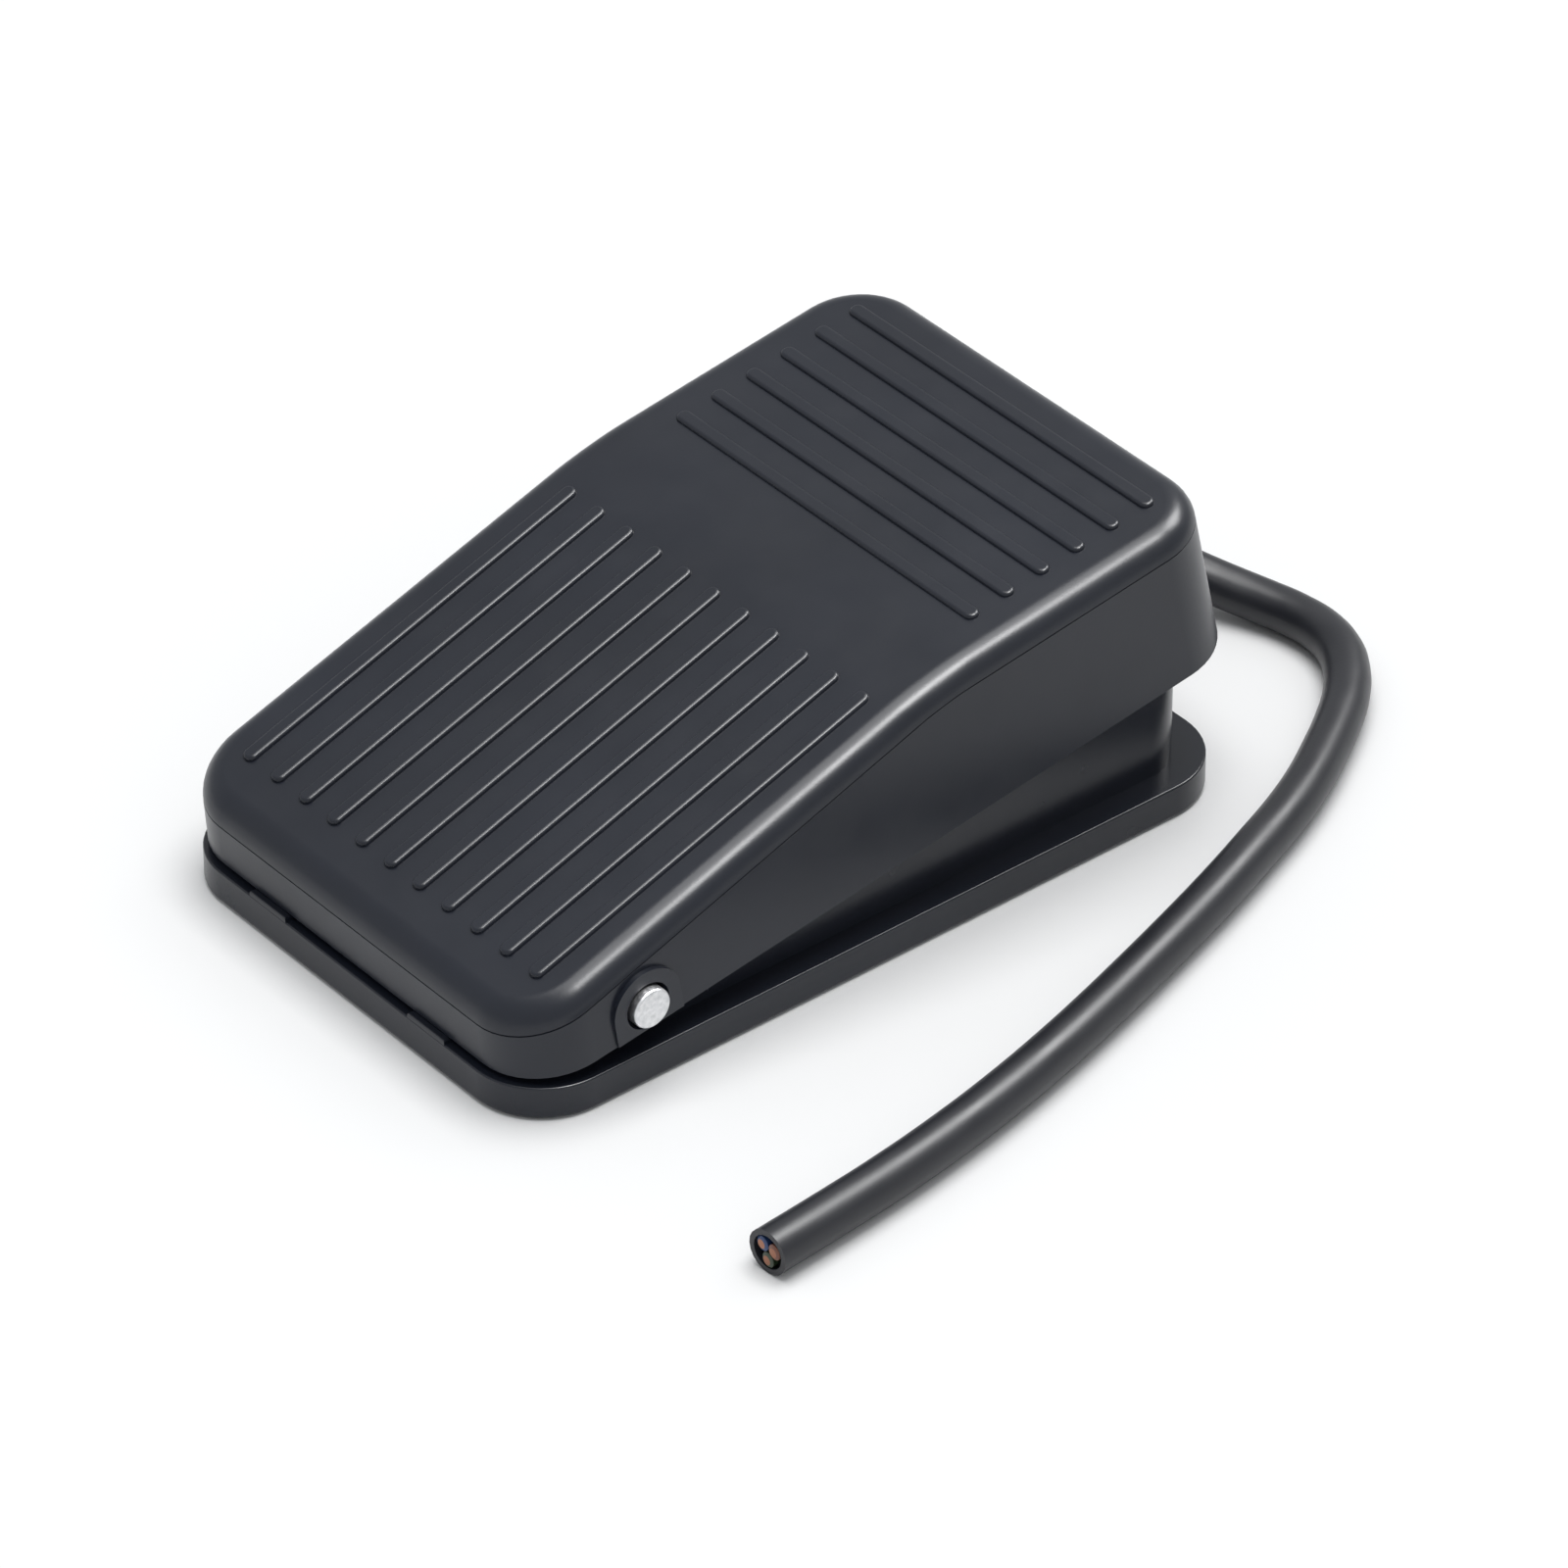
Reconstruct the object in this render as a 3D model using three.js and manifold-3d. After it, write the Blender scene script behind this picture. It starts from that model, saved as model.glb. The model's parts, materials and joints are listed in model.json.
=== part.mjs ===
// Foot switch: a hinged treadle over a low base tray, with a snap-action switch, a return spring and a short
// lead. Millimetres, +Z up. The toe end, with the hinge, faces -Y, and the lead leaves the heel end at +Y.
// Z = 0 is the floor.
import * as THREE from 'three';
import { mergeVertices } from 'three/addons/utils/BufferGeometryUtils.js';
import Module from 'manifold-3d';

const wasm = await Module();
wasm.setup();

// ---- driving dimensions -----------------------------------------------------------------------------
const GAP = 0.3;                    // clearance kept between pieces that meet
const BASE = { length: 100, width: 63.4, corner: 9, bottom: 0.25, top: 4.32, floor: 2.25 };
const HOUSING = { halfWidth: 28.5, toe: -46.5, heel: 46, corner: 6, wall: 2.2 };
const HOUSING_TOP = { toe: 10.2, knee: -30, kneeTop: 15.6, crest: 0, crestTop: 20 };
const REST_PAD = { x: 14, width: 6.4, depth: 1.6, height: 0.55 };
const PIN = {
  y: -33.8, z: 10.35, radius: 2.4, halfLength: 32.6, hole: 2.85, chamfer: 0.35,
  clipRadius: 4.6, clipX: 25, clipThickness: 0.8,
};
const REST_ANGLE = 8.4;             // degrees the treadle stands open at rest
const COVER = {
  halfWidth: 31.5, toe: -16, heel: 85.3, corner: 8.5, bottom: -3.1, top: 16.36, ridge: 43.8,
  toeSlope: 10.6, draft: 0.9, wall: 2, ridgeBlend: 5,
};
const LONG_RIB = { count: 11, pitch: 5.02, from: -8.6, to: 37.2 };
const CROSS_RIB = { count: 6, pitch: 5, last: 78.6, halfLength: 24.4 };
const RIB = { halfWidth: 0.95, height: 0.5, root: 0.8 };
const EAR = { radius: 4.5, proud: 0.4, wallLean: 0.135 };
const SWITCH = { halfWidth: 5.15, toe: -16, heel: 11.8, bottom: 2.6, top: 18.5, lidInner: 3.2 };
const SWITCH_HOLES = [{ name: 'front', y: -13.2, z: 15.6 }, { name: 'rear', y: 9, z: 6.2 }];
const M3 = { radius: 1.4, hole: 1.7, head: 2.75, headHeight: 2, nutAcross: 5.5, nutHeight: 2.2 };
const SELF_TAPPER = {
  radius: 1.25, head: 2.5, headHeight: 1.7, hole: 1.55, bracketLength: 3.6, clampLength: 4,
};
const LEVER = {
  hingeY: -12, hingeZ: 19.8, length: 26.2, angle: 6, width: 4, thickness: 0.5, eye: 1, pin: 0.4,
};
const LUG = { inner: 2.2, outer: 2.85, radius: 1.2 };
const ROLLER = { radius: 2.4, width: 2.8, lift: 1.5, axle: 0.7 };
const BUTTON = { y: -5, width: 1.6, length: 3, top: 19.95, depth: 3.2, pocket: 5 };
const BRACKET = {
  inner: 5.45, thickness: 0.8, toe: -16, heel: 12, foot: 5.3, footEnd: 17, footToe: -9, footHeel: 5,
};
const BRACKET_SCREW_Y = [-5.8, 1.8];
const BRACKET_SCREW_X = 12.5;
const BRACKET_PAD_RADIUS = 3.4;
const TERMINAL = { reach: 6.5, halfWidth: 2.35, halfThickness: 0.25, hole: 0.8, seated: 2.7, slack: 0.2 };
const SPRING = { y: 30, radius: 6.2, wire: 0.7, turns: 6.5, bottom: 4.1, top: 27.6, peg: 4.2, pegRise: 3.5 };
const SPRING_SEAT = {
  radius: 8, gap: 1.5, peg: 3.4, pegDrop: 4.5, cup: 7.6, ringOuter: 9.2, ringInner: 8, ringRise: 1.5,
};
const CABLE = { x: -8, z: 8.5, radius: 2.7, stripped: 37.4, bootEnd: 55 };
const WIRE = { firstX: -9.8, pitch: -2.4, spreadBy: 28, startAngle: 330 };
const BOOT = { bore: 3, neck: 3.25, flange: 4.3, collar: 3.9, tip: 3.4, inside: 43.2 };
const CLAMP = { toe: 38.2, heel: 42.6, reach: 10.2, thickness: 1.4, ledge: 5.5, screwReach: 7.5 };
const CORE = { radius: 0.9, orbit: 1.1, cutAngle: 150, cutLength: 0.5, between: 120 };
const FOOT = { x: 23, y: 41, radius: 4.6, height: 1 };
const BUFFER = { x: 20, y: 34, radius: 3.6, post: 15, height: 3.6, inset: 0.4 };
const STRIKER = {
  post: 4.2, postRadius: 4.2, pad: 3.6, peg: 2.2, boreFrom: 8, boreTo: 3, pegTop: 3.4, clear: 0.5,
};
const STROKE = 4.5;                 // degrees the treadle goes down

// Centreline of the free lead, chosen by hand: out of the boot, down to the floor, round and back along the
// side.
const LEAD_POINTS = [
  [-8, 55.3, 8.5], [-7.95, 57.3, 8.4], [-7.3, 60.2, 8], [-5.9, 63, 7.3], [-3.7, 65.6, 6.4],
  [-0.8, 67.8, 5.3], [2.5, 69.7, 4.3], [6, 71.5, 3.5], [9.9, 73.2, 2.95], [14, 74.4, 2.75],
  [18.3, 74.6, 2.75], [22.5, 73.5, 2.75], [26.2, 71.1, 2.75], [29.2, 68.2, 2.75], [32, 64.6, 2.75],
  [35.3, 59.6, 2.75], [38.5, 54.2, 2.75], [41.3, 48.5, 2.75], [44.2, 41.3, 2.75], [47.2, 33.4, 2.75],
  [50, 25.3, 2.75], [52.7, 17, 2.75], [55.3, 8.6, 2.75], [57.7, 0, 2.75], [59.8, -8.8, 2.75],
  [61.5, -17.7, 2.75], [62.8, -26.8, 2.75], [63.7, -35.8, 2.75], [64.4, -44.3, 2.75],
];

const clampMiddle = (CLAMP.toe + CLAMP.heel) / 2;
const RAD = Math.PI / 180;
const X = new THREE.Vector3(1, 0, 0);
const Y = new THREE.Vector3(0, 1, 0);
const Z = new THREE.Vector3(0, 0, 1);

// ---- materials --------------------------------------------------------------------------------------
const plastic = (color, roughness) => new THREE.MeshStandardMaterial({ color, roughness, metalness: 0 });
const metal = (color, roughness) => new THREE.MeshStandardMaterial({ color, roughness, metalness: 1 });

// ---- shape helpers ----------------------------------------------------------------------------------
function roundedRect(x0, x1, y0, y1, r) {
  const shape = new THREE.Shape();
  shape.absarc(x1 - r, y0 + r, r, -Math.PI / 2, 0);
  shape.absarc(x1 - r, y1 - r, r, 0, Math.PI / 2);
  shape.absarc(x0 + r, y1 - r, r, Math.PI / 2, Math.PI);
  shape.absarc(x0 + r, y0 + r, r, Math.PI, 1.5 * Math.PI);
  return shape;
}

function polygon(points) {
  return new THREE.Shape(points.map(([a, b]) => new THREE.Vector2(a, b)));
}

function upright(shape, z0, z1, curveSegments = 8) {
  const geometry = new THREE.ExtrudeGeometry(shape, { depth: z1 - z0, bevelEnabled: false, curveSegments });
  return geometry.translate(0, 0, z0);
}

// A side view drawn in (y, z), extruded across X.
function across(shape, x0, x1, curveSegments = 8) {
  const geometry = new THREE.ExtrudeGeometry(shape, { depth: x1 - x0, bevelEnabled: false, curveSegments });
  geometry.applyMatrix4(new THREE.Matrix4().makeBasis(Y, Z, X));
  return geometry.translate(x0, 0, 0);
}

function box(x0, x1, y0, y1, z0, z1) {
  const geometry = new THREE.BoxGeometry(x1 - x0, y1 - y0, z1 - z0);
  return geometry.translate((x0 + x1) / 2, (y0 + y1) / 2, (z0 + z1) / 2);
}

function rodX(radius, x0, x1, y, z, sides = 24) {
  const geometry = new THREE.CylinderGeometry(radius, radius, x1 - x0, sides).rotateZ(-Math.PI / 2);
  return geometry.translate((x0 + x1) / 2, y, z);
}

function rodY(radius, y0, y1, x, z, sides = 20) {
  return new THREE.CylinderGeometry(radius, radius, y1 - y0, sides).translate(x, (y0 + y1) / 2, z);
}

function rodZ(radius, z0, z1, x, y, sides = 20) {
  const geometry = new THREE.CylinderGeometry(radius, radius, z1 - z0, sides).rotateX(Math.PI / 2);
  return geometry.translate(x, y, (z0 + z1) / 2);
}

// Leans every wall inwards as it rises, by the given inset over the height.
function withDraft(geometry, z0, z1, inset, middleY) {
  const place = geometry.attributes.position;
  for (let i = 0; i < place.count; i += 1) {
    const shift = inset * (place.getZ(i) - z0) / (z1 - z0);
    place.setX(i, place.getX(i) - Math.sign(place.getX(i)) * shift);
    place.setY(i, place.getY(i) - Math.sign(place.getY(i) - middleY) * shift);
  }
  return geometry;
}

function solid(geometry) {
  const bare = geometry.clone();
  bare.deleteAttribute('normal');
  bare.deleteAttribute('uv');
  const welded = mergeVertices(bare, 1e-4);
  const vertProperties = new Float32Array(welded.attributes.position.array);
  const triVerts = new Uint32Array(welded.index.array);
  return new wasm.Manifold(new wasm.Mesh({ numProp: 3, vertProperties, triVerts }));
}

function shaped(first, { add = [], cut = [], keep = [] }) {
  let body = solid(first);
  for (const piece of add) body = body.add(solid(piece));
  for (const piece of keep) body = body.intersect(solid(piece));
  for (const piece of cut) body = body.subtract(solid(piece));
  const mesh = body.getMesh();
  const geometry = new THREE.BufferGeometry();
  geometry.setAttribute('position', new THREE.BufferAttribute(new Float32Array(mesh.vertProperties), 3));
  geometry.setIndex(new THREE.BufferAttribute(new Uint32Array(mesh.triVerts), 1));
  const flat = geometry.toNonIndexed();
  flat.computeVertexNormals();
  return flat;
}

function tube(points, radius, sides, steps) {
  const path = new THREE.CatmullRomCurve3(points.map((p) => new THREE.Vector3(...p)));
  const section = new THREE.Shape();
  for (let i = 0; i < sides; i += 1) {
    const a = 2 * Math.PI * i / sides;
    const corner = [radius * Math.cos(a), radius * Math.sin(a)];
    if (i === 0) section.moveTo(...corner);
    else section.lineTo(...corner);
  }
  return new THREE.ExtrudeGeometry(section, { steps, bevelEnabled: false, extrudePath: path });
}

function part(name, geometry, material) {
  const mesh = new THREE.Mesh(geometry, material);
  mesh.name = name;
  return mesh;
}

// The raised heel of the cover stands past the base, so the whole is moved to keep it centred on Y = 0.
const heelReach = PIN.y + COVER.heel * Math.cos(REST_ANGLE * RAD) - COVER.bottom * Math.sin(REST_ANGLE * RAD);
const footSwitch = new THREE.Group();
footSwitch.position.y = -(heelReach - BASE.length / 2) / 2;
const treadle = new THREE.Group();
treadle.position.set(0, PIN.y, PIN.z);
treadle.rotation.x = REST_ANGLE * RAD;
footSwitch.add(treadle);

// ---- base -------------------------------------------------------------------------------------------
function housingSide(inset, bottom) {
  return polygon([
    [HOUSING.toe - 5, bottom], [HOUSING.heel + 5, bottom], [HOUSING.heel + 5, HOUSING_TOP.crestTop - inset],
    [HOUSING_TOP.crest, HOUSING_TOP.crestTop - inset], [HOUSING_TOP.knee, HOUSING_TOP.kneeTop - inset],
    [HOUSING.toe, HOUSING_TOP.toe - inset], [HOUSING.toe - 5, HOUSING_TOP.toe - inset],
  ]);
}

function baseHousing() {
  const half = BASE.width / 2;
  const end = BASE.length / 2;
  const h = HOUSING;
  const plate = upright(roundedRect(-half, half, -end, end, BASE.corner), BASE.bottom, BASE.top, 12);
  const outline = roundedRect(-h.halfWidth, h.halfWidth, h.toe, h.heel, h.corner);
  const block = upright(outline, BASE.bottom, HOUSING_TOP.crestTop + 1);
  const walls = shaped(block, { keep: [across(housingSide(0, BASE.bottom - 1), -half, half)] });
  const inner = roundedRect(
    -h.halfWidth + h.wall, h.halfWidth - h.wall, h.toe + h.wall, h.heel - h.wall, h.corner - h.wall);
  const pocket = upright(inner, BASE.floor, HOUSING_TOP.crestTop + 3);
  const pads = [-1, 1].map((side) => box(
    side * REST_PAD.x - REST_PAD.width / 2, side * REST_PAD.x + REST_PAD.width / 2,
    -end, -end + REST_PAD.depth, BASE.bottom + 1, BASE.top + REST_PAD.height));
  const shell = shaped(plate, { add: [walls, ...pads], cut: [pocket] });
  const posts = [-1, 1].map((side) => rodZ(
    BUFFER.radius, BASE.bottom + 1, BUFFER.post, side * BUFFER.x, BUFFER.y));
  const bracketPads = BRACKET_SCREW_Y.map((y) => rodZ(
    BRACKET_PAD_RADIUS, BASE.bottom + 1, BRACKET.foot - GAP, BRACKET_SCREW_X, y));
  const ledge = box(
    CABLE.x - CLAMP.reach, CABLE.x + CLAMP.reach, CLAMP.toe, CLAMP.heel, BASE.bottom + 1, CLAMP.ledge);
  const ringTop = BASE.floor + SPRING_SEAT.ringRise;
  const springRing = shaped(rodZ(SPRING_SEAT.ringOuter, BASE.bottom + 1, ringTop, 0, SPRING.y), {
    cut: [rodZ(SPRING_SEAT.ringInner, BASE.bottom, ringTop + 1, 0, SPRING.y)],
  });
  const screwHole = SELF_TAPPER.hole;
  const holeFloor = BASE.bottom + 0.8;
  const holes = [
    rodX(PIN.hole - GAP / 2, -half - 1, half + 1, PIN.y, PIN.z),
    rodY(BOOT.neck + GAP, h.heel - h.wall - 1, h.heel + 1, CABLE.x, CABLE.z),
    ...BRACKET_SCREW_Y.map((y) => rodZ(screwHole, holeFloor, BRACKET.foot + 1, BRACKET_SCREW_X, y)),
    ...[-1, 1].map((side) => rodZ(
      screwHole, holeFloor, CLAMP.ledge + 1, CABLE.x + side * CLAMP.screwReach, clampMiddle)),
    ...feetPlaces().map(({ x, y }) => rodZ(
      FOOT.radius + GAP, BASE.bottom - 1, FOOT.height + GAP, x, y)),
  ];
  const grown = shaped(shell, { add: [...posts, ...bracketPads, ledge, springRing], cut: holes });
  return part('base_housing', grown, plastic(0x2b2d31, 0.42));
}

function feetPlaces() {
  return [
    { name: 'front_left', x: -FOOT.x, y: -FOOT.y }, { name: 'front_right', x: FOOT.x, y: -FOOT.y },
    { name: 'rear_left', x: -FOOT.x, y: FOOT.y }, { name: 'rear_right', x: FOOT.x, y: FOOT.y },
  ];
}

function feet() {
  return feetPlaces().map(({ name, x, y }) => part(
    `foot_${name}`, rodZ(FOOT.radius, 0, FOOT.height, x, y), plastic(0x17181a, 0.85)));
}

function stopBuffers() {
  const bottom = BUFFER.post + GAP;
  return [['left', -1], ['right', 1]].map(([name, side]) => part(
    `stop_buffer_${name}`,
    rodZ(BUFFER.radius - BUFFER.inset, bottom, bottom + BUFFER.height, side * BUFFER.x, BUFFER.y),
    plastic(0x1a1b1c, 0.9)));
}

// ---- hinge ------------------------------------------------------------------------------------------
function pivotPin() {
  const { radius, halfLength, chamfer } = PIN;
  const profile = [
    [0, -halfLength], [radius - chamfer, -halfLength], [radius, -halfLength + chamfer],
    [radius, halfLength - chamfer], [radius - chamfer, halfLength], [0, halfLength],
  ].map(([r, along]) => new THREE.Vector2(r, along));
  const geometry = new THREE.LatheGeometry(profile, 24).rotateZ(-Math.PI / 2).translate(0, PIN.y, PIN.z);
  return part('pivot_pin', geometry, metal(0xd6d7d8, 0.28));
}

function pinClip(name, side) {
  const inner = side * PIN.clipX;
  const outer = side * (PIN.clipX + PIN.clipThickness);
  const [x0, x1] = [Math.min(inner, outer), Math.max(inner, outer)];
  const geometry = shaped(rodX(PIN.clipRadius, x0, x1, PIN.y, PIN.z), {
    cut: [rodX(PIN.radius + GAP, x0 - 1, x1 + 1, PIN.y, PIN.z)],
  });
  return part(name, geometry, metal(0xa8a9ab, 0.35));
}

// ---- treadle cover, in its own frame: origin on the pin axis, Y towards the heel, Z square to its low
function coverSide(drop) {
  const c = COVER;
  const slope = Math.tan(c.toeSlope * RAD);
  const top = c.top - drop;
  const reach = c.heel - c.toe;
  const shape = new THREE.Shape();
  shape.moveTo(c.toe - 5, c.bottom - (drop > 0 ? 2 : 0));
  shape.lineTo(c.toe + reach + 5, c.bottom - (drop > 0 ? 2 : 0));
  shape.lineTo(c.toe + reach + 5, top);
  shape.lineTo(c.ridge + c.ridgeBlend, top);
  shape.quadraticCurveTo(c.ridge, top, c.ridge - c.ridgeBlend, top - slope * c.ridgeBlend);
  shape.lineTo(c.toe - 5, top - slope * (c.ridge - c.toe + 5));
  return across(shape, -c.halfWidth - 2, c.halfWidth + 2, 6);
}

function coverBlock(inset, bottom) {
  const c = COVER;
  const outline = roundedRect(
    -c.halfWidth + inset, c.halfWidth - inset, c.toe + inset, c.heel - inset, c.corner - inset);
  return withDraft(upright(outline, bottom, c.top + 1), bottom, c.top + 1, c.draft, (c.toe + c.heel) / 2);
}

function stadium(halfLength, along) {
  const shape = new THREE.Shape();
  if (along === 'y') {
    shape.absarc(0, halfLength, RIB.halfWidth, 0, Math.PI);
    shape.absarc(0, -halfLength, RIB.halfWidth, Math.PI, 2 * Math.PI);
  } else {
    shape.absarc(halfLength, 0, RIB.halfWidth, -Math.PI / 2, Math.PI / 2);
    shape.absarc(-halfLength, 0, RIB.halfWidth, Math.PI / 2, 1.5 * Math.PI);
  }
  return upright(shape, -RIB.root, RIB.height, 4);
}

function longRibs() {
  const middle = (LONG_RIB.from + LONG_RIB.to) / 2;
  const tilt = COVER.toeSlope * RAD;
  const halfLength = (LONG_RIB.to - LONG_RIB.from) / 2 / Math.cos(tilt);
  const height = COVER.top - Math.tan(tilt) * (COVER.ridge - middle);
  return Array.from({ length: LONG_RIB.count }, (_, i) => {
    const x = (i - (LONG_RIB.count - 1) / 2) * LONG_RIB.pitch;
    return stadium(halfLength, 'y').rotateX(tilt).translate(x, middle, height);
  });
}

function crossRibs() {
  return Array.from({ length: CROSS_RIB.count }, (_, i) => stadium(CROSS_RIB.halfLength, 'x')
    .translate(0, CROSS_RIB.last - i * CROSS_RIB.pitch, COVER.top));
}

function ear(side) {
  const shape = new THREE.Shape();
  shape.moveTo(-EAR.radius, COVER.bottom);
  shape.lineTo(EAR.radius, COVER.bottom);
  shape.absarc(0, 0, EAR.radius, 0, Math.PI);
  const outer = COVER.halfWidth - EAR.wallLean + EAR.proud;
  const inner = COVER.halfWidth - COVER.wall;
  return side > 0 ? across(shape, inner, outer, 10) : across(shape, -outer, -inner, 10);
}

// Turns a point of the base (y, z), with the treadle at rest, into the cover's own reach and height.
function inCover(y, z) {
  const a = REST_ANGLE * RAD;
  const dy = y - PIN.y;
  const dz = z - PIN.z;
  return { u: dy * Math.cos(a) + dz * Math.sin(a), h: dz * Math.cos(a) - dy * Math.sin(a) };
}

function pedalCover() {
  const c = COVER;
  const rootTop = c.top - c.wall / 2;
  const outer = shaped(coverBlock(0, c.bottom), { keep: [coverSide(0)] });
  const inner = shaped(coverBlock(c.wall, c.bottom - 1), { keep: [coverSide(c.wall)] });
  const shell = shaped(outer, { cut: [inner] });
  const seat = inCover(SPRING.y, SPRING.top + SPRING_SEAT.gap);
  const springSeat = rodZ(SPRING_SEAT.radius, seat.h, rootTop, 0, seat.u);
  const springPeg = rodZ(SPRING_SEAT.peg, seat.h - SPRING_SEAT.pegDrop, rootTop, 0, seat.u);
  const bufferTop = BUFFER.post + GAP + BUFFER.height;
  const stopDrop = (BUFFER.y - PIN.y) * Math.sin(STROKE * RAD);
  const stop = inCover(BUFFER.y, bufferTop + stopDrop + 1);
  const stopPosts = [-1, 1].map((side) => rodZ(BUFFER.radius, stop.h, rootTop, side * BUFFER.x, stop.u));
  const reach = strikerU();
  const strikerPost = rodZ(STRIKER.postRadius, c.top - STRIKER.post, rootTop, 0, reach);
  const strikerBore = rodZ(STRIKER.peg + GAP, c.top - STRIKER.boreFrom, c.top - STRIKER.boreTo, 0, reach);
  const holes = [rodX(PIN.hole, -c.halfWidth - 3, c.halfWidth + 3, 0, 0), strikerBore];
  const geometry = shaped(shell, {
    add: [...longRibs(), ...crossRibs(), ear(1), ear(-1), springSeat, springPeg, ...stopPosts, strikerPost],
    cut: holes,
  });
  return part('pedal_cover', geometry, plastic(0x2a2c30, 0.38));
}

// ---- striker: a smooth pad on the cover that bears on the lever's roller ----------------------------
const rollerY = LEVER.hingeY + LEVER.length * Math.cos(LEVER.angle * RAD);
const rollerZ = LEVER.hingeZ + LEVER.length * Math.sin(LEVER.angle * RAD) + ROLLER.lift;

const strikerU = () => inCover(rollerY, rollerZ + 3).u;

function striker() {
  const c = COVER;
  const u = strikerU();
  const padTop = c.top - STRIKER.post - GAP;
  const low = inCover(rollerY, rollerZ + ROLLER.radius + GAP + STRIKER.clear).h;
  const geometry = shaped(rodZ(STRIKER.pad, low, padTop, 0, u), {
    add: [rodZ(STRIKER.peg, low + STRIKER.clear, c.top - STRIKER.pegTop, 0, u)],
  });
  return part('striker', geometry, plastic(0xd8d6cf, 0.4));
}

// ---- snap-action switch -----------------------------------------------------------------------------
function switchHoles(radius, x0, x1) {
  return SWITCH_HOLES.map(({ y, z }) => rodX(radius, x0, x1, y, z));
}

function switchCase() {
  const s = SWITCH;
  const clear = GAP / 2;
  const buttonPocket = box(
    -BUTTON.width / 2 - clear, BUTTON.width / 2 + clear, BUTTON.y - BUTTON.length / 2 - clear,
    BUTTON.y + BUTTON.length / 2 + clear, s.top - BUTTON.pocket, s.top + 1);
  const t = TERMINAL;
  const slotHalf = t.halfWidth + t.slack + 0.05;
  const slotRise = t.halfThickness + t.slack;
  const tabs = terminals().map(({ z }) => box(
    -slotHalf, slotHalf, s.toe - 1, s.toe + t.seated + GAP, z - slotRise, z + slotRise));
  const block = box(-s.halfWidth, s.lidInner - GAP, s.toe, s.heel, s.bottom, s.top);
  const bore = rodX(LEVER.pin + GAP, -4, 4, LEVER.hingeY, LEVER.hingeZ, 16);
  const geometry = shaped(block, {
    add: [lug(-LUG.outer, -LUG.inner), lug(LUG.inner, LUG.outer)],
    cut: [buttonPocket, bore, ...tabs, ...switchHoles(M3.hole, -8, 8)],
  });
  return part('switch_case', geometry, plastic(0x3a2f2a, 0.5));
}

function lug(x0, x1) {
  const shape = new THREE.Shape();
  shape.moveTo(LEVER.hingeY - LUG.radius, SWITCH.top - 1);
  shape.lineTo(LEVER.hingeY + LUG.radius, SWITCH.top - 1);
  shape.absarc(LEVER.hingeY, LEVER.hingeZ, LUG.radius, 0, Math.PI);
  return across(shape, x0, x1, 8);
}

function switchLid() {
  const s = SWITCH;
  const geometry = shaped(box(s.lidInner, s.halfWidth, s.toe, s.heel, s.bottom, s.top), {
    cut: switchHoles(M3.hole, 0, 8),
  });
  return part('switch_lid', geometry, plastic(0x3a2f2a, 0.5));
}

function switchButton() {
  const geometry = box(
    -BUTTON.width / 2, BUTTON.width / 2, BUTTON.y - BUTTON.length / 2, BUTTON.y + BUTTON.length / 2,
    SWITCH.top - BUTTON.depth, BUTTON.top);
  return part('switch_button', geometry, plastic(0xb33a2c, 0.45));
}

function terminals() {
  return [{ name: 'common', z: 4.8 }, { name: 'closed', z: 8.5 }, { name: 'open', z: 12.2 }];
}

function terminal({ name, z }) {
  const t = TERMINAL;
  const y0 = SWITCH.toe - t.reach;
  const blade = box(
    -t.halfWidth, t.halfWidth, y0, SWITCH.toe + t.seated, z - t.halfThickness, z + t.halfThickness);
  const geometry = shaped(blade, { cut: [rodZ(t.hole, z - 1, z + 1, 0, y0 + 2, 16)] });
  return part(`terminal_${name}`, geometry, metal(0xc9a25a, 0.35));
}

function switchLever() {
  const l = LEVER;
  const half = l.width / 2;
  const fork = half - ROLLER.width / 2 - GAP / 2;
  const reach = l.length + 1.6;
  const plate = box(-half, half, 0, l.length - ROLLER.radius - 0.8, -l.thickness / 2, l.thickness / 2);
  const cheekStart = l.length - ROLLER.radius - 1.6;
  const cheeks = [-1, 1].map((side) => {
    const x = side * (half - fork / 2);
    return box(x - fork / 2, x + fork / 2, cheekStart, reach, -l.thickness / 2, ROLLER.lift + 1);
  });
  const geometry = shaped(plate, {
    add: [rodX(l.eye, -half, half, 0, 0), ...cheeks],
    cut: [
      rodX(ROLLER.axle, -half - 1, half + 1, l.length, ROLLER.lift, 16),
      rodX(l.pin + GAP, -half - 1, half + 1, 0, 0, 16),
    ],
  });
  geometry.rotateX(l.angle * RAD).translate(0, l.hingeY, l.hingeZ);
  return part('switch_lever', geometry, metal(0xb9bbbd, 0.3));
}

function leverPin() {
  const geometry = rodX(LEVER.pin, -LUG.outer, LUG.outer, LEVER.hingeY, LEVER.hingeZ, 16);
  return part('lever_pin', geometry, metal(0xc8c9cb, 0.3));
}

function leverRoller() {
  const a = LEVER.angle * RAD;
  const y = LEVER.hingeY + LEVER.length * Math.cos(a) - ROLLER.lift * Math.sin(a);
  const z = LEVER.hingeZ + LEVER.length * Math.sin(a) + ROLLER.lift * Math.cos(a);
  const stub = LEVER.width / 2 - 0.02;
  const geometry = shaped(rodX(ROLLER.radius, -ROLLER.width / 2, ROLLER.width / 2, y, z), {
    add: [rodX(ROLLER.axle - GAP / 2, -stub, stub, y, z, 16)],
  });
  return part('lever_roller', geometry, plastic(0x8a3b30, 0.4));
}

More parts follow.
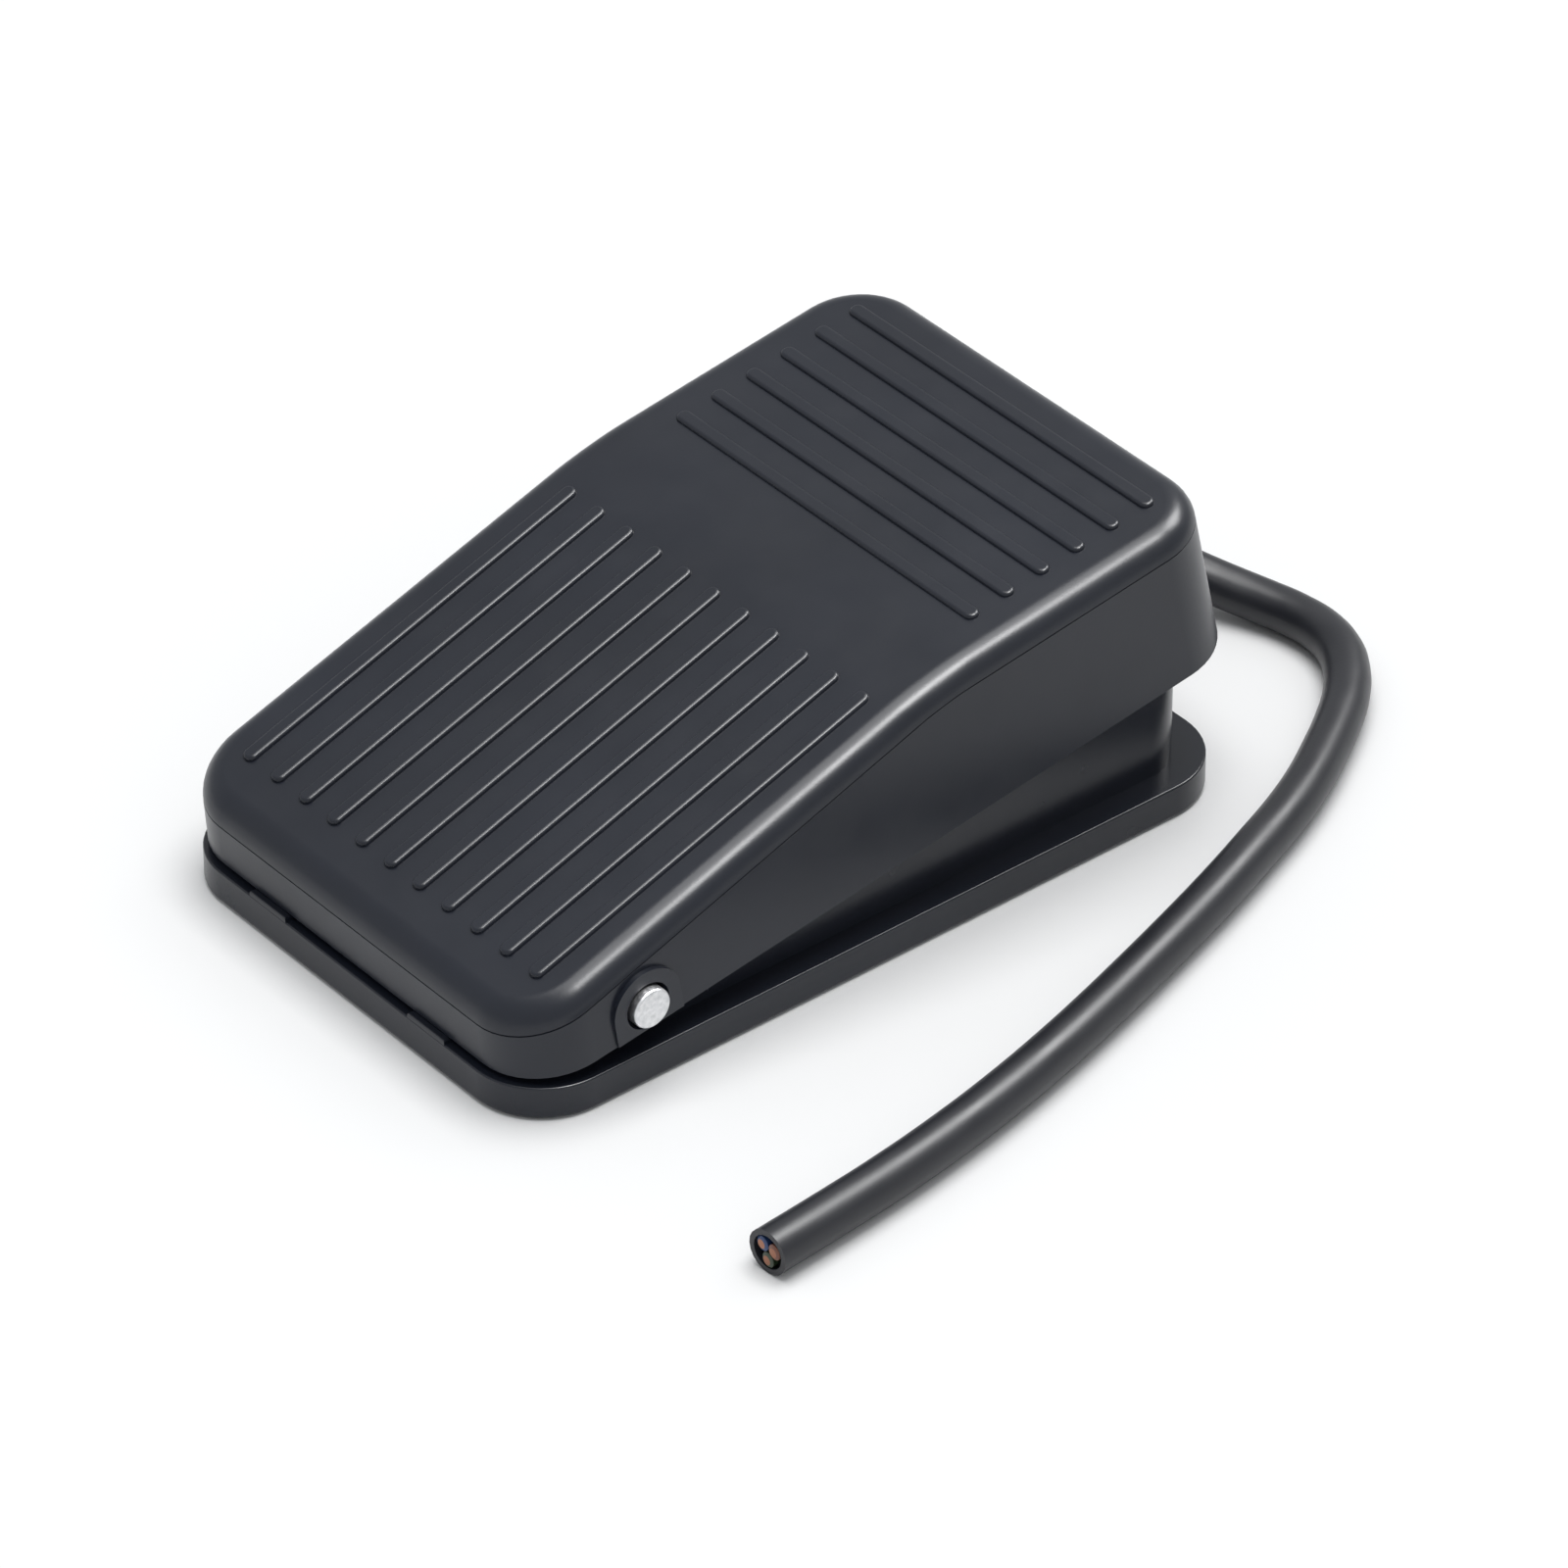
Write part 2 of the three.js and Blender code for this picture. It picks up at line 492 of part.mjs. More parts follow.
// ---- bracket and fixings ----------------------------------------------------------------------------
function switchBracket() {
  const b = BRACKET;
  const outer = b.inner + b.thickness;
  const wall = box(b.inner, outer, b.toe, b.heel, b.foot, SWITCH.top - 0.6);
  const foot = box(b.inner, b.footEnd, b.footToe, b.footHeel, b.foot, b.foot + b.thickness);
  const rearTab = box(b.inner, outer, SWITCH_HOLES[1].y - 3, b.heel, SWITCH.bottom + 0.3, b.foot + 1);
  const geometry = shaped(wall, {
    add: [foot, rearTab],
    cut: [
      ...switchHoles(M3.hole, b.inner - 1, outer + 1),
      ...BRACKET_SCREW_Y.map((y) => rodZ(SELF_TAPPER.hole, b.foot - 1, b.foot + 2, BRACKET_SCREW_X, y)),
    ],
  });
  return part('switch_bracket', geometry, metal(0xb4b6b9, 0.34));
}

function screwProfile(radius, head, headHeight, length) {
  const outline = [
    [0, 0], [head * 0.8, 0], [head, headHeight * 0.45], [head, headHeight], [radius, headHeight],
    [radius, headHeight + length - 0.5], [radius - 0.5, headHeight + length], [0, headHeight + length],
  ];
  return outline.map(([r, along]) => new THREE.Vector2(r, along));
}

// Screw whose head's top is at the origin and whose shank points along +Y of the lathe.
function screw(radius, head, headHeight, length) {
  return new THREE.LatheGeometry(screwProfile(radius, head, headHeight, length), 14);
}

function switchScrew({ name, y, z }) {
  const length = SWITCH.halfWidth * 2 + BRACKET.thickness + M3.nutHeight + 3 * GAP + 0.6;
  const geometry = screw(M3.radius, M3.head, M3.headHeight, length).rotateZ(-Math.PI / 2);
  geometry.translate(-SWITCH.halfWidth - GAP - M3.headHeight, y, z);
  return part(`switch_screw_${name}`, geometry, metal(0xc2c3c5, 0.3));
}

function switchNut({ name, y, z }) {
  const x0 = BRACKET.inner + BRACKET.thickness + GAP;
  const radius = M3.nutAcross / Math.sqrt(3);
  const geometry = shaped(rodX(radius, x0, x0 + M3.nutHeight, y, z, 6), {
    cut: [rodX(M3.hole, x0 - 1, x0 + M3.nutHeight + 1, y, z)],
  });
  return part(`switch_nut_${name}`, geometry, metal(0xc2c3c5, 0.3));
}

function downScrew(name, x, y, seat, length) {
  const { radius, head, headHeight } = SELF_TAPPER;
  const geometry = screw(radius, head, headHeight, length).rotateX(-Math.PI / 2);
  geometry.translate(x, y, seat + GAP + headHeight);
  return part(name, geometry, metal(0xc2c3c5, 0.3));
}

// ---- return spring ----------------------------------------------------------------------------------
function returnSpring() {
  const s = SPRING;
  const low = s.bottom + s.wire;
  const high = s.top - s.wire;
  const perTurn = 9;
  const points = Array.from({ length: Math.round(s.turns * perTurn) + 1 }, (_, i) => {
    const turn = i / perTurn;
    const a = 2 * Math.PI * turn;
    return [s.radius * Math.cos(a), s.y + s.radius * Math.sin(a), low + (high - low) * turn / s.turns];
  });
  return part('return_spring', tube(points, s.wire, 6, points.length - 1), metal(0xb8babc, 0.3));
}

function springCup() {
  const y = SPRING.y;
  const floor = BASE.floor + GAP;
  const geometry = shaped(rodZ(SPRING_SEAT.cup, floor, SPRING.bottom - GAP, 0, y), {
    add: [rodZ(SPRING.peg, floor, SPRING.bottom + SPRING.pegRise, 0, y)],
  });
  return part('spring_cup', geometry, plastic(0xcfcdc6, 0.5));
}

// ---- cable entry ------------------------------------------------------------------------------------
function cableBoot() {
  const b = BOOT;
  const inner = HOUSING.heel - HOUSING.wall;
  const outer = HOUSING.heel;
  const profile = [
    [b.bore, b.inside], [b.flange, b.inside], [b.flange, inner - GAP], [b.neck, inner - GAP],
    [b.neck, outer + GAP], [b.collar, outer + GAP], [b.collar, outer + 2], [b.tip, CABLE.bootEnd],
    [b.bore, CABLE.bootEnd], [b.bore, b.inside],
  ].map(([r, along]) => new THREE.Vector2(r, along));
  const geometry = new THREE.LatheGeometry(profile, 20).translate(CABLE.x, 0, CABLE.z);
  return part('cable_boot', geometry, plastic(0x202124, 0.7));
}

function cableTail() {
  const geometry = rodY(CABLE.radius, CABLE.stripped, CABLE.bootEnd, CABLE.x, CABLE.z);
  return part('cable_tail', geometry, plastic(0x232427, 0.55));
}

function cableClamp() {
  const seat = CLAMP.ledge + GAP;
  const strap = CABLE.radius + GAP;
  const outer = strap + CLAMP.thickness;
  const flange = box(
    CABLE.x - CLAMP.reach, CABLE.x + CLAMP.reach, CLAMP.toe, CLAMP.heel, seat, seat + CLAMP.thickness);
  const arch = rodY(outer, CLAMP.toe, CLAMP.heel, CABLE.x, CABLE.z);
  const underside = box(
    CABLE.x - 9, CABLE.x + 9, CLAMP.toe - 1, CLAMP.heel + 1, CABLE.z - outer - 1, seat);
  const holes = [-1, 1].map((side) => rodZ(
    SELF_TAPPER.hole, seat - 1, seat + 3, CABLE.x + side * CLAMP.screwReach, clampMiddle));
  const geometry = shaped(flange, {
    add: [arch],
    cut: [underside, rodY(strap, CLAMP.toe - 1, CLAMP.heel + 1, CABLE.x, CABLE.z), ...holes],
  });
  return part('cable_clamp', geometry, plastic(0xd4d2ca, 0.5));
}

function innerWire({ name, color }, index) {
  const a = (WIRE.startAngle + CORE.between * index) * RAD;
  const { z } = terminals()[index];
  const start = [CABLE.x + CORE.orbit * Math.cos(a), CABLE.z + CORE.orbit * Math.sin(a)];
  const lane = WIRE.firstX + WIRE.pitch * index;
  const y0 = CABLE.stripped - GAP;
  const tip = SWITCH.toe - TERMINAL.reach - GAP;
  const points = [
    [start[0], y0, start[1]], [start[0], y0 - 2, start[1]], [lane, WIRE.spreadBy, start[1]],
    [lane, -4, start[1]], [lane, -18, z], [lane + 2.5, -25.2, z], [-4.2, -27.6, z], [-0.9, -26.6, z],
    [0, tip - 1.2, z], [0, tip, z],
  ];
  return part(`wire_${name}`, tube(points, CORE.radius, 8, 24), plastic(color, 0.5));
}

// ---- free lead --------------------------------------------------------------------------------------
function cordJacket() {
  return part('cord_jacket', tube(LEAD_POINTS, CABLE.radius, 10, 38), plastic(0x2c2d30, 0.5));
}

const CORES = [
  { name: 'blue', color: 0x2a4fa8 }, { name: 'brown', color: 0x7a4326 }, { name: 'green', color: 0x5b8f3a },
];

// Each core shows in the cut end as a short length that stands just clear of the jacket's face.
function cutCore({ name, color }, index) {
  const [xe, ye, ze] = LEAD_POINTS[LEAD_POINTS.length - 1];
  const a = (CORE.cutAngle - CORE.between * index) * RAD;
  const near = ye - GAP;
  const [x, z] = [xe + CORE.orbit * Math.cos(a), ze + CORE.orbit * Math.sin(a)];
  const geometry = rodY(CORE.radius, near - CORE.cutLength, near, x, z, 16);
  return part(`core_${name}`, geometry, plastic(color, 0.5));
}

// ---- assembly ---------------------------------------------------------------------------------------
treadle.add(pedalCover(), striker());
footSwitch.add(
  baseHousing(), ...feet(), ...stopBuffers(), pivotPin(),
  pinClip('pin_clip_left', -1), pinClip('pin_clip_right', 1),
  switchCase(), switchLid(), switchButton(), ...terminals().map(terminal),
  switchLever(), leverPin(), leverRoller(), switchBracket(),
  ...SWITCH_HOLES.map(switchScrew), ...SWITCH_HOLES.map(switchNut),
  ...BRACKET_SCREW_Y.map((y, i) => downScrew(
    `bracket_screw_${['front', 'rear'][i]}`, BRACKET_SCREW_X, y, BRACKET.foot + BRACKET.thickness,
    SELF_TAPPER.bracketLength)),
  returnSpring(), springCup(), cableBoot(), cableTail(), cableClamp(),
  ...[['left', -1], ['right', 1]].map(([name, side]) => downScrew(
    `clamp_screw_${name}`, CABLE.x + side * CLAMP.screwReach, clampMiddle,
    CLAMP.ledge + GAP + CLAMP.thickness, SELF_TAPPER.clampLength)),
  ...CORES.map(innerWire), cordJacket(), ...CORES.map(cutCore));

export default footSwitch;
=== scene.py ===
"""Foot switch: a ribbed treadle hinged over a flat base tray, its switch and spring,
and a short three-core lead."""
import json
import math

import bmesh
import bpy
from mathutils import Matrix, Vector

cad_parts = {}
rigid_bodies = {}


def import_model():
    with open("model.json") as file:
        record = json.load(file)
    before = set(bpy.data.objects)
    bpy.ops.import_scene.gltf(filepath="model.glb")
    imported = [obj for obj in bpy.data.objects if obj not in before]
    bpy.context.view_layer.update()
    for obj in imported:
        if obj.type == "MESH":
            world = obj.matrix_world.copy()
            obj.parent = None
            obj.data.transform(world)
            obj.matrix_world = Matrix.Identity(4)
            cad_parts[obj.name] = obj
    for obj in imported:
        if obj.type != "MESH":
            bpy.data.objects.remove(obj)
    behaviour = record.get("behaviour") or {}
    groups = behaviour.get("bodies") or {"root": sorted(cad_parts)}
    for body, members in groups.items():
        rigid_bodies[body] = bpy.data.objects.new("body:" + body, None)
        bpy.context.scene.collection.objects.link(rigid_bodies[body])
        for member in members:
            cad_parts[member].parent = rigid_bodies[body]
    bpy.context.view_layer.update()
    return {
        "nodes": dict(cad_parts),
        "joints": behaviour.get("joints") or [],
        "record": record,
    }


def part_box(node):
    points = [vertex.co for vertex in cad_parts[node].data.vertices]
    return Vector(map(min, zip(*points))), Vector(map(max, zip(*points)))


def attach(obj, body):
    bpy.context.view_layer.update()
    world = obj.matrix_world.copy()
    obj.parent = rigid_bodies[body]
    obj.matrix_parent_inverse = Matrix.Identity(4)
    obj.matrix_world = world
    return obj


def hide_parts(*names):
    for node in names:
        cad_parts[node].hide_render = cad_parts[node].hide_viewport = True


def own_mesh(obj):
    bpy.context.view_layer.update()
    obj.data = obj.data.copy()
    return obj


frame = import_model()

# ---- sizes ---------------------------------------------------------------------------------------
# Millimetres where nothing else is said. Counts, slopes and shares have no unit. The tray's own
# frame has its middle at X = Y = 0 and the floor at Z = 0. A _HALF is half a width or a half length.
MM = 0.001
MERGE, OVERCUT = 0.002, 1
record = frame["record"]
joints = {joint["name"]: joint for joint in frame["joints"]}
tray_low, tray_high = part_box("base_housing")
TRAY_MIDDLE = (tray_low.y + tray_high.y) / 2
PIN = Vector(joints["treadle_press"]["pos_m"])
REST_ANGLE = math.radians(8.4)
TREADLE_PLACE = Matrix.Translation(PIN) @ Matrix.Rotation(REST_ANGLE, 4, "X")

# The cover, in the treadle's own frame: origin on the pin's axis, Y towards the heel, Z square to
# the cover's flat heel part.
COVER_HALF, COVER_TOE, COVER_HEEL = 31.5, -16.0, 85.3
COVER_FOOT, COVER_TOP, COVER_RIDGE = -3.1, 16.36, 43.8
TOE_SLOPE = math.radians(10.6)
COVER_DRAFT = 0.044
COVER_CORNER, COVER_EDGE, COVER_WALL = 8.5, 2.9, 2.0
RIDGE_EASE = 5.5
HOLLOW_REACH = 4
RIB_HALF, RIB_RISE, RIB_ROOT, RIB_PITCH = 0.95, 0.5, 0.8, 5.02
RIB_END_ROUND, RIB_TOP_ROUND = 0.97, 0.9
LONG_RIBS, LONG_RIB_FROM, LONG_RIB_TO = 11, -8.6, 37.2
CROSS_RIBS, CROSS_RIB_LAST, CROSS_RIB_HALF = 6, 78.6, 24.4
EAR_RADIUS, EAR_RISE, EAR_ROOT, EAR_FOOT = 4.5, 0.4, 6, 0.05
PIN_HOLE, THROUGH = 2.85, 40
GROOVE_HALF, GROOVE_DEPTH = 0.09, 0.25
WALL_LEAN, ROUND_LEAN = 0.075, (0.085, 0.35)
SEAT_RADIUS, SEAT_GAP = 8, 1.5
PEG_RADIUS, PEG_LENGTH = 3.4, 4.5
STRIKER_POST, STRIKER_POST_LENGTH, STRIKER_OVER_ROLLER = 4.2, 4.2, 3
STRIKER_BORE, STRIKER_BORE_LOW, STRIKER_BORE_HIGH = 2.5, 8, 3
POST_EASE = 0.35

# The tray.
TRAY_HALF, TRAY_END, TRAY_CORNER = 31.7, 50.0, 9.0
TRAY_FOOT, TRAY_TOP, TRAY_FLOOR = 0.25, 4.32, 2.25
TRAY_TOP_EDGE, TRAY_LOW_EDGE = 0.22, 0.4
HOUSING_HALF, HOUSING_TOE, HOUSING_HEEL, HOUSING_CORNER, HOUSING_WALL = 28.5, -46.5, 46.0, 6.0, 2.2
HOUSING_FOOT, HOUSING_BLANK, HOUSING_EDGE, POCKET_TOP = 1.0, 25, 0.5, 30
HOUSING_TOP = ((HOUSING_TOE, 10.2), (-30.0, 15.6), (0.0, 20.0), (HOUSING_HEEL, 20.0))
PIN_HOLE_IN_TRAY, BOOT_HOLE, SCREW_HOLE, FOOT_HOLE, FOOT_DEPTH = 2.7, 3.5, 1.55, 4.9, 1.3
BOOT_HOLE_IN, BOOT_HOLE_OUT, FOOT_HOLE_LOW = 4, 2, -2
SCREW_HOLE_LOW, SCREW_HOLE_HIGH, SCREW_HOLE_SIDES = 0.8, 8, 32
SCREW_PAD, REST_PAD_X, REST_PAD_HALF, REST_PAD_RISE, REST_PAD_EDGE = 3.4, 14, 3.2, 0.55, 0.2
REST_PAD_TOE, REST_PAD_BACK = -49.95, -48.4
LEDGE_HALF, LEDGE_DEPTH = 10.2, 2.2
RING_RADIUS, RING_BORE = 9.2, 8.0
BOSS_ROOT = 1
SPRING_Y, SPRING_FOOT, SPRING_TOP = 30.0, 4.1, 27.6
SPRING_RADIUS, SPRING_WIRE, SPRING_TURNS, SPRING_STEPS, SPRING_PRESSED = 6.2, 0.7, 6.5, 32, 0.82
STOP_X, STOP_Y, STOP_RADIUS, STOP_POST, STOP_LOW = 20.0, 34.0, 3.6, 15.0, 25.22
LEDGE_TOP, PAD_TOP, RING_TOP = 5.5, 5.0, 3.75
BRACKET_SCREWS = ("bracket_screw_front", "bracket_screw_rear")
CLAMP_SCREWS = ("clamp_screw_left", "clamp_screw_right")
FOOT_EDGE, FOOT_RIM, FOOT_RAMP, FOOT_CUP = 0.25, 1.3, 0.5, 0.3
PIN_EDGE = 0.3
FEET = ("foot_front_left", "foot_front_right", "foot_rear_left", "foot_rear_right")
BOOT_BORE, BOOT_NECK, BOOT_FLANGE, BOOT_LAP, BOOT_INSET = 2.9, 3.25, 4.3, 1.2, 0.2
BOOT_COLLAR, BOOT_TAPER, BOOT_RINGS, BOOT_RING_PITCH, BOOT_RING_SHARE = 3.9, 0.1, 5, 1.72, 0.6
BOOT_GAP, BOOT_RING_EDGE = 0.3, 0.25

# The lead: out of the boot, down to the floor, round and back along the side.
LEAD_RADIUS = 2.7
LEAD_POINTS = (
    (-8, 55.3, 8.5), (-7.95, 57.3, 8.4), (-7.3, 60.2, 8), (-5.9, 63, 7.3), (-3.7, 65.6, 6.4),
    (-0.8, 67.8, 5.3), (2.5, 69.7, 4.3), (6, 71.5, 3.5), (9.9, 73.2, 2.95), (14, 74.4, 2.75),
    (18.3, 74.6, 2.75), (22.5, 73.5, 2.75), (26.2, 71.1, 2.75), (29.2, 68.2, 2.75), (32, 64.6, 2.75),
    (35.3, 59.6, 2.75), (38.5, 54.2, 2.75), (41.3, 48.5, 2.75), (44.2, 41.3, 2.75), (47.2, 33.4, 2.75),
    (50, 25.3, 2.75), (52.7, 17, 2.75), (55.3, 8.6, 2.75), (57.7, 0, 2.75), (59.8, -8.8, 2.75),
    (61.5, -17.7, 2.75), (62.8, -26.8, 2.75), (63.7, -35.8, 2.75), (64.4, -44.3, 2.75),
)
JACKET_WALL, CUT_DEPTH = 0.66, 1.0
CORE_RADIUS, CORE_ORBIT, CORE_SUNK, CORE_BACK, CORE_SIDES = 0.9, 1.08, 0.12, 1.2, 32
STRAND_RADIUS, STRAND_PROUD = 0.55, 0.2
# Where the first core sits round the cut, and how far round the next is, in degrees.
FIRST_CORE, CORE_STEP = 148, 120

# The camera's place and aim are in the tray's frame. What it can see to, the lamps' places and
# sizes and the floor are in metres, and the lamps' power is in watts.
CAMERA_PLACE, CAMERA_AIM = (638.7, -514.1, 604.55), (3.3, 8.13, 3.83)
CAMERA_LENS, CAMERA_SENSOR, CAMERA_FAR = 212.2, 36, 20
LAMP_AIM = (0, 0, 0.02)
SKY_COLOR, SKY_STRENGTH = (0.96, 0.98, 1.0, 1), 0.62
GLINT_LAMPS = (
    ("softbox_right", (0.36, 0.14, 0.92), (0.45, 0.26), 13.0),
    ("softbox_rear", (0.05, 0.66, 0.75), (0.4, 0.4), 9.0),
)
TOP_LAMP = ("softbox_top", (0.0, 0.1, 1.0), (0.7, 0.7), 8.0)
FLOOR_SIZE = 6


def at(x, y, z):
    """A point given in the tray's own frame, in metres in the model's frame."""
    return Vector((x * MM, y * MM + TRAY_MIDDLE, z * MM))


# ---- camera and light ---------------------------------------------------------------------------
def look_from(ob, place, aim):
    ob.location = place
    ob.rotation_euler = (aim - place).to_track_quat("-Z", "Y").to_euler()


def place_camera():
    data = bpy.data.cameras.new("camera")
    data.lens = CAMERA_LENS
    data.sensor_width = CAMERA_SENSOR
    data.clip_end = CAMERA_FAR
    ob = bpy.data.objects.new("camera", data)
    bpy.context.scene.collection.objects.link(ob)
    look_from(ob, at(*CAMERA_PLACE), at(*CAMERA_AIM))
    bpy.context.scene.camera = ob


def softbox(name, place, size, power):
    """A rectangular lamp turned to the object."""
    data = bpy.data.lights.new(name, "AREA")
    data.shape = "RECTANGLE"
    data.size, data.size_y = size
    data.energy = power
    ob = bpy.data.objects.new(name, data)
    bpy.context.scene.collection.objects.link(ob)
    look_from(ob, Vector(place), Vector(LAMP_AIM))
    return ob


def light_studio():
    """Even light from all round, one lamp over the top and two that only make highlights."""
    world = bpy.data.worlds.new("studio")
    world.use_nodes = True
    sky = world.node_tree.nodes["Background"]
    sky.inputs["Color"].default_value = SKY_COLOR
    sky.inputs["Strength"].default_value = SKY_STRENGTH
    bpy.context.scene.world = world
    bpy.context.scene.view_settings.view_transform = "Standard"
    for lamp in GLINT_LAMPS:
        softbox(*lamp).visible_diffuse = False
    softbox(*TOP_LAMP)


def lay_floor():
    bpy.ops.mesh.primitive_plane_add(size=FLOOR_SIZE, location=(0, 0, 0))
    floor = bpy.context.object
    floor.name = "floor"
    floor.data.materials.append(paper_white())


# ---- materials ----------------------------------------------------------------------------------
CLOUD_SCALE, GLOSS_SCALE = 45.0, 160.0


def new_material(name):
    material = bpy.data.materials.new(name)
    material.use_nodes = True
    tree = material.node_tree
    return material, tree, tree.nodes["Principled BSDF"]


def noise(tree, scale, detail=4.0):
    """Noise on the object's own coordinates, with scale in features a metre."""
    place = tree.nodes.new("ShaderNodeTexCoord")
    pattern = tree.nodes.new("ShaderNodeTexNoise")
    pattern.inputs["Scale"].default_value = scale
    pattern.inputs["Detail"].default_value = detail
    tree.links.new(place.outputs["Object"], pattern.inputs["Vector"])
    return pattern.outputs["Fac"]


def ramp(tree, source, stops):
    """Colours a pattern by stops of place and colour."""
    node = tree.nodes.new("ShaderNodeValToRGB")
    first, last = node.color_ramp.elements
    first.position, first.color = stops[0][0], (*stops[0][1], 1)
    last.position, last.color = stops[-1][0], (*stops[-1][1], 1)
    for position, color in stops[1:-1]:
        node.color_ramp.elements.new(position).color = (*color, 1)
    tree.links.new(source, node.inputs["Fac"])
    return node.outputs["Color"]


def spread(tree, source, low, high):
    """Stretches the middle of a noise pattern over the values from low to high."""
    node = tree.nodes.new("ShaderNodeMapRange")
    node.inputs["From Min"].default_value = 0.3
    node.inputs["From Max"].default_value = 0.7
    node.inputs["To Min"].default_value = low
    node.inputs["To Max"].default_value = high
    tree.links.new(source, node.inputs["Value"])
    return node.outputs["Result"]


def bumps(tree, bsdf, source, depth, strength=1.0):
    """Raises the surface by a pattern, to a depth in metres."""
    node = tree.nodes.new("ShaderNodeBump")
    node.inputs["Distance"].default_value = depth
    node.inputs["Strength"].default_value = strength
    tree.links.new(source, node.inputs["Height"])
    tree.links.new(node.outputs["Normal"], bsdf.inputs["Normal"])


def shade(color, amount):
    return tuple(channel * amount for channel in color)


def plastic(name, color, gloss, grain=2600.0, grain_depth=0.000012, mottle=0.12, metal=0.0):
    """A finish with fine grain in the surface and slow changes of tone and of gloss over it."""
    material, tree, bsdf = new_material(name)
    cloud = noise(tree, CLOUD_SCALE, detail=5.0)
    tone = ramp(tree, cloud, [(0.3, shade(color, 1 - mottle)), (0.7, shade(color, 1 + mottle))])
    tree.links.new(tone, bsdf.inputs["Base Color"])
    tree.links.new(spread(tree, noise(tree, GLOSS_SCALE, detail=6.0), *gloss), bsdf.inputs["Roughness"])
    bumps(tree, bsdf, noise(tree, grain, detail=3.0), grain_depth)
    bsdf.inputs["Metallic"].default_value = metal
    bsdf.inputs["Specular IOR Level"].default_value = 0.5 if metal else 0.4
    return material


def paper_white():
    material, tree, bsdf = new_material("studio_floor")
    tone = ramp(tree, noise(tree, 3.0, 2.0), [(0.3, (0.77, 0.77, 0.77)), (0.7, (0.79, 0.79, 0.79))])
    tree.links.new(tone, bsdf.inputs["Base Color"])
    bsdf.inputs["Roughness"].default_value = 0.9
    return material


def bare_metal(name, color, gloss, grain=900.0):
    """Plain metal, cloudy and faintly grainy."""
    return plastic(name, color, gloss, grain, grain_depth=0.000006, mottle=0.08, metal=1.0)


def turned_steel():
    """The hinge pin: plated, with faint rings left by turning on its ends."""
    material, tree, bsdf = new_material("pin_steel")
    place = tree.nodes.new("ShaderNodeTexCoord")
    centre = tree.nodes.new("ShaderNodeMapping")
    centre.inputs["Location"].default_value = (0, -PIN.y, -PIN.z)
    rings = tree.nodes.new("ShaderNodeTexWave")
    rings.wave_type, rings.rings_direction = "RINGS", "X"
    rings.inputs["Scale"].default_value = 900.0
    rings.inputs["Distortion"].default_value = 1.5
    tree.links.new(place.outputs["Object"], centre.inputs["Vector"])
    tree.links.new(centre.outputs["Vector"], rings.inputs["Vector"])
    tone = ramp(tree, noise(tree, 1500.0, 6.0), [(0.3, (0.62, 0.63, 0.64)), (0.7, (0.84, 0.84, 0.85))])
    tree.links.new(tone, bsdf.inputs["Base Color"])
    tree.links.new(spread(tree, noise(tree, 2500.0), 0.3, 0.46), bsdf.inputs["Roughness"])
    bumps(tree, bsdf, rings.outputs["Fac"], 0.000004, 0.6)
    bsdf.inputs["Metallic"].default_value = 1.0
    return material


def make_materials():
    return {
        "cover_plastic": plastic("cover_plastic", (0.0108, 0.0131, 0.0205), (0.28, 0.34), 3000.0, 0.000006),
        "base_plastic": plastic("base_plastic", (0.0096, 0.0117, 0.0182), (0.25, 0.275), 2600.0, 0.000005),
        "foot_rubber": plastic("foot_rubber", (0.012, 0.012, 0.0125), (0.7, 0.82), 1800.0, 0.00003),
        "boot_rubber": plastic("boot_rubber", (0.013, 0.013, 0.014), (0.55, 0.68), 2000.0, 0.00002),
        "cord_pvc": plastic("cord_pvc", (0.0155, 0.0162, 0.0205), (0.33, 0.41), 1500.0, 0.00001),
        "natural_plastic": plastic("natural_plastic", (0.72, 0.69, 0.6), (0.38, 0.5), 1500.0, 0.00001, 0.04),
        "switch_plastic": plastic("switch_plastic", (0.035, 0.02, 0.015), (0.4, 0.55)),
        "button_plastic": plastic("button_plastic", (0.4, 0.05, 0.03), (0.35, 0.45), mottle=0.06),
        "core_blue": plastic("core_blue", (0.02, 0.045, 0.13), (0.22, 0.3), mottle=0.08),
        "core_brown": plastic("core_brown", (0.13, 0.045, 0.025), (0.25, 0.35), mottle=0.08),
        "core_green": striped_green(),
        "pin_steel": turned_steel(),
        "zinc_steel": bare_metal("zinc_steel", (0.6, 0.61, 0.63), (0.28, 0.42)),
        "spring_steel": bare_metal("spring_steel", (0.45, 0.45, 0.47), (0.2, 0.32), 2000.0),
        "terminal_brass": bare_metal("terminal_brass", (0.78, 0.55, 0.25), (0.25, 0.4)),
        "strand_copper": bare_metal("strand_copper", (0.3, 0.14, 0.09), (0.35, 0.6), 5000.0),
    }


def striped_green():
    """Green core insulation with slanting yellow bands."""
    material, tree, bsdf = new_material("core_green")
    place = tree.nodes.new("ShaderNodeTexCoord")
    wave = tree.nodes.new("ShaderNodeTexWave")
    wave.wave_type, wave.bands_direction = "BANDS", "DIAGONAL"
    wave.inputs["Scale"].default_value = 60.0
    tree.links.new(place.outputs["Object"], wave.inputs["Vector"])
    tone = ramp(tree, wave.outputs["Fac"], [(0.55, (0.025, 0.04, 0.02)), (0.75, (0.12, 0.12, 0.04))])
    tree.links.new(tone, bsdf.inputs["Base Color"])
    tree.links.new(spread(tree, noise(tree, 300.0), 0.3, 0.42), bsdf.inputs["Roughness"])
    return material


# ---- modelling helpers --------------------------------------------------------------------------
def deselect():
    bpy.ops.object.select_all(action="DESELECT")


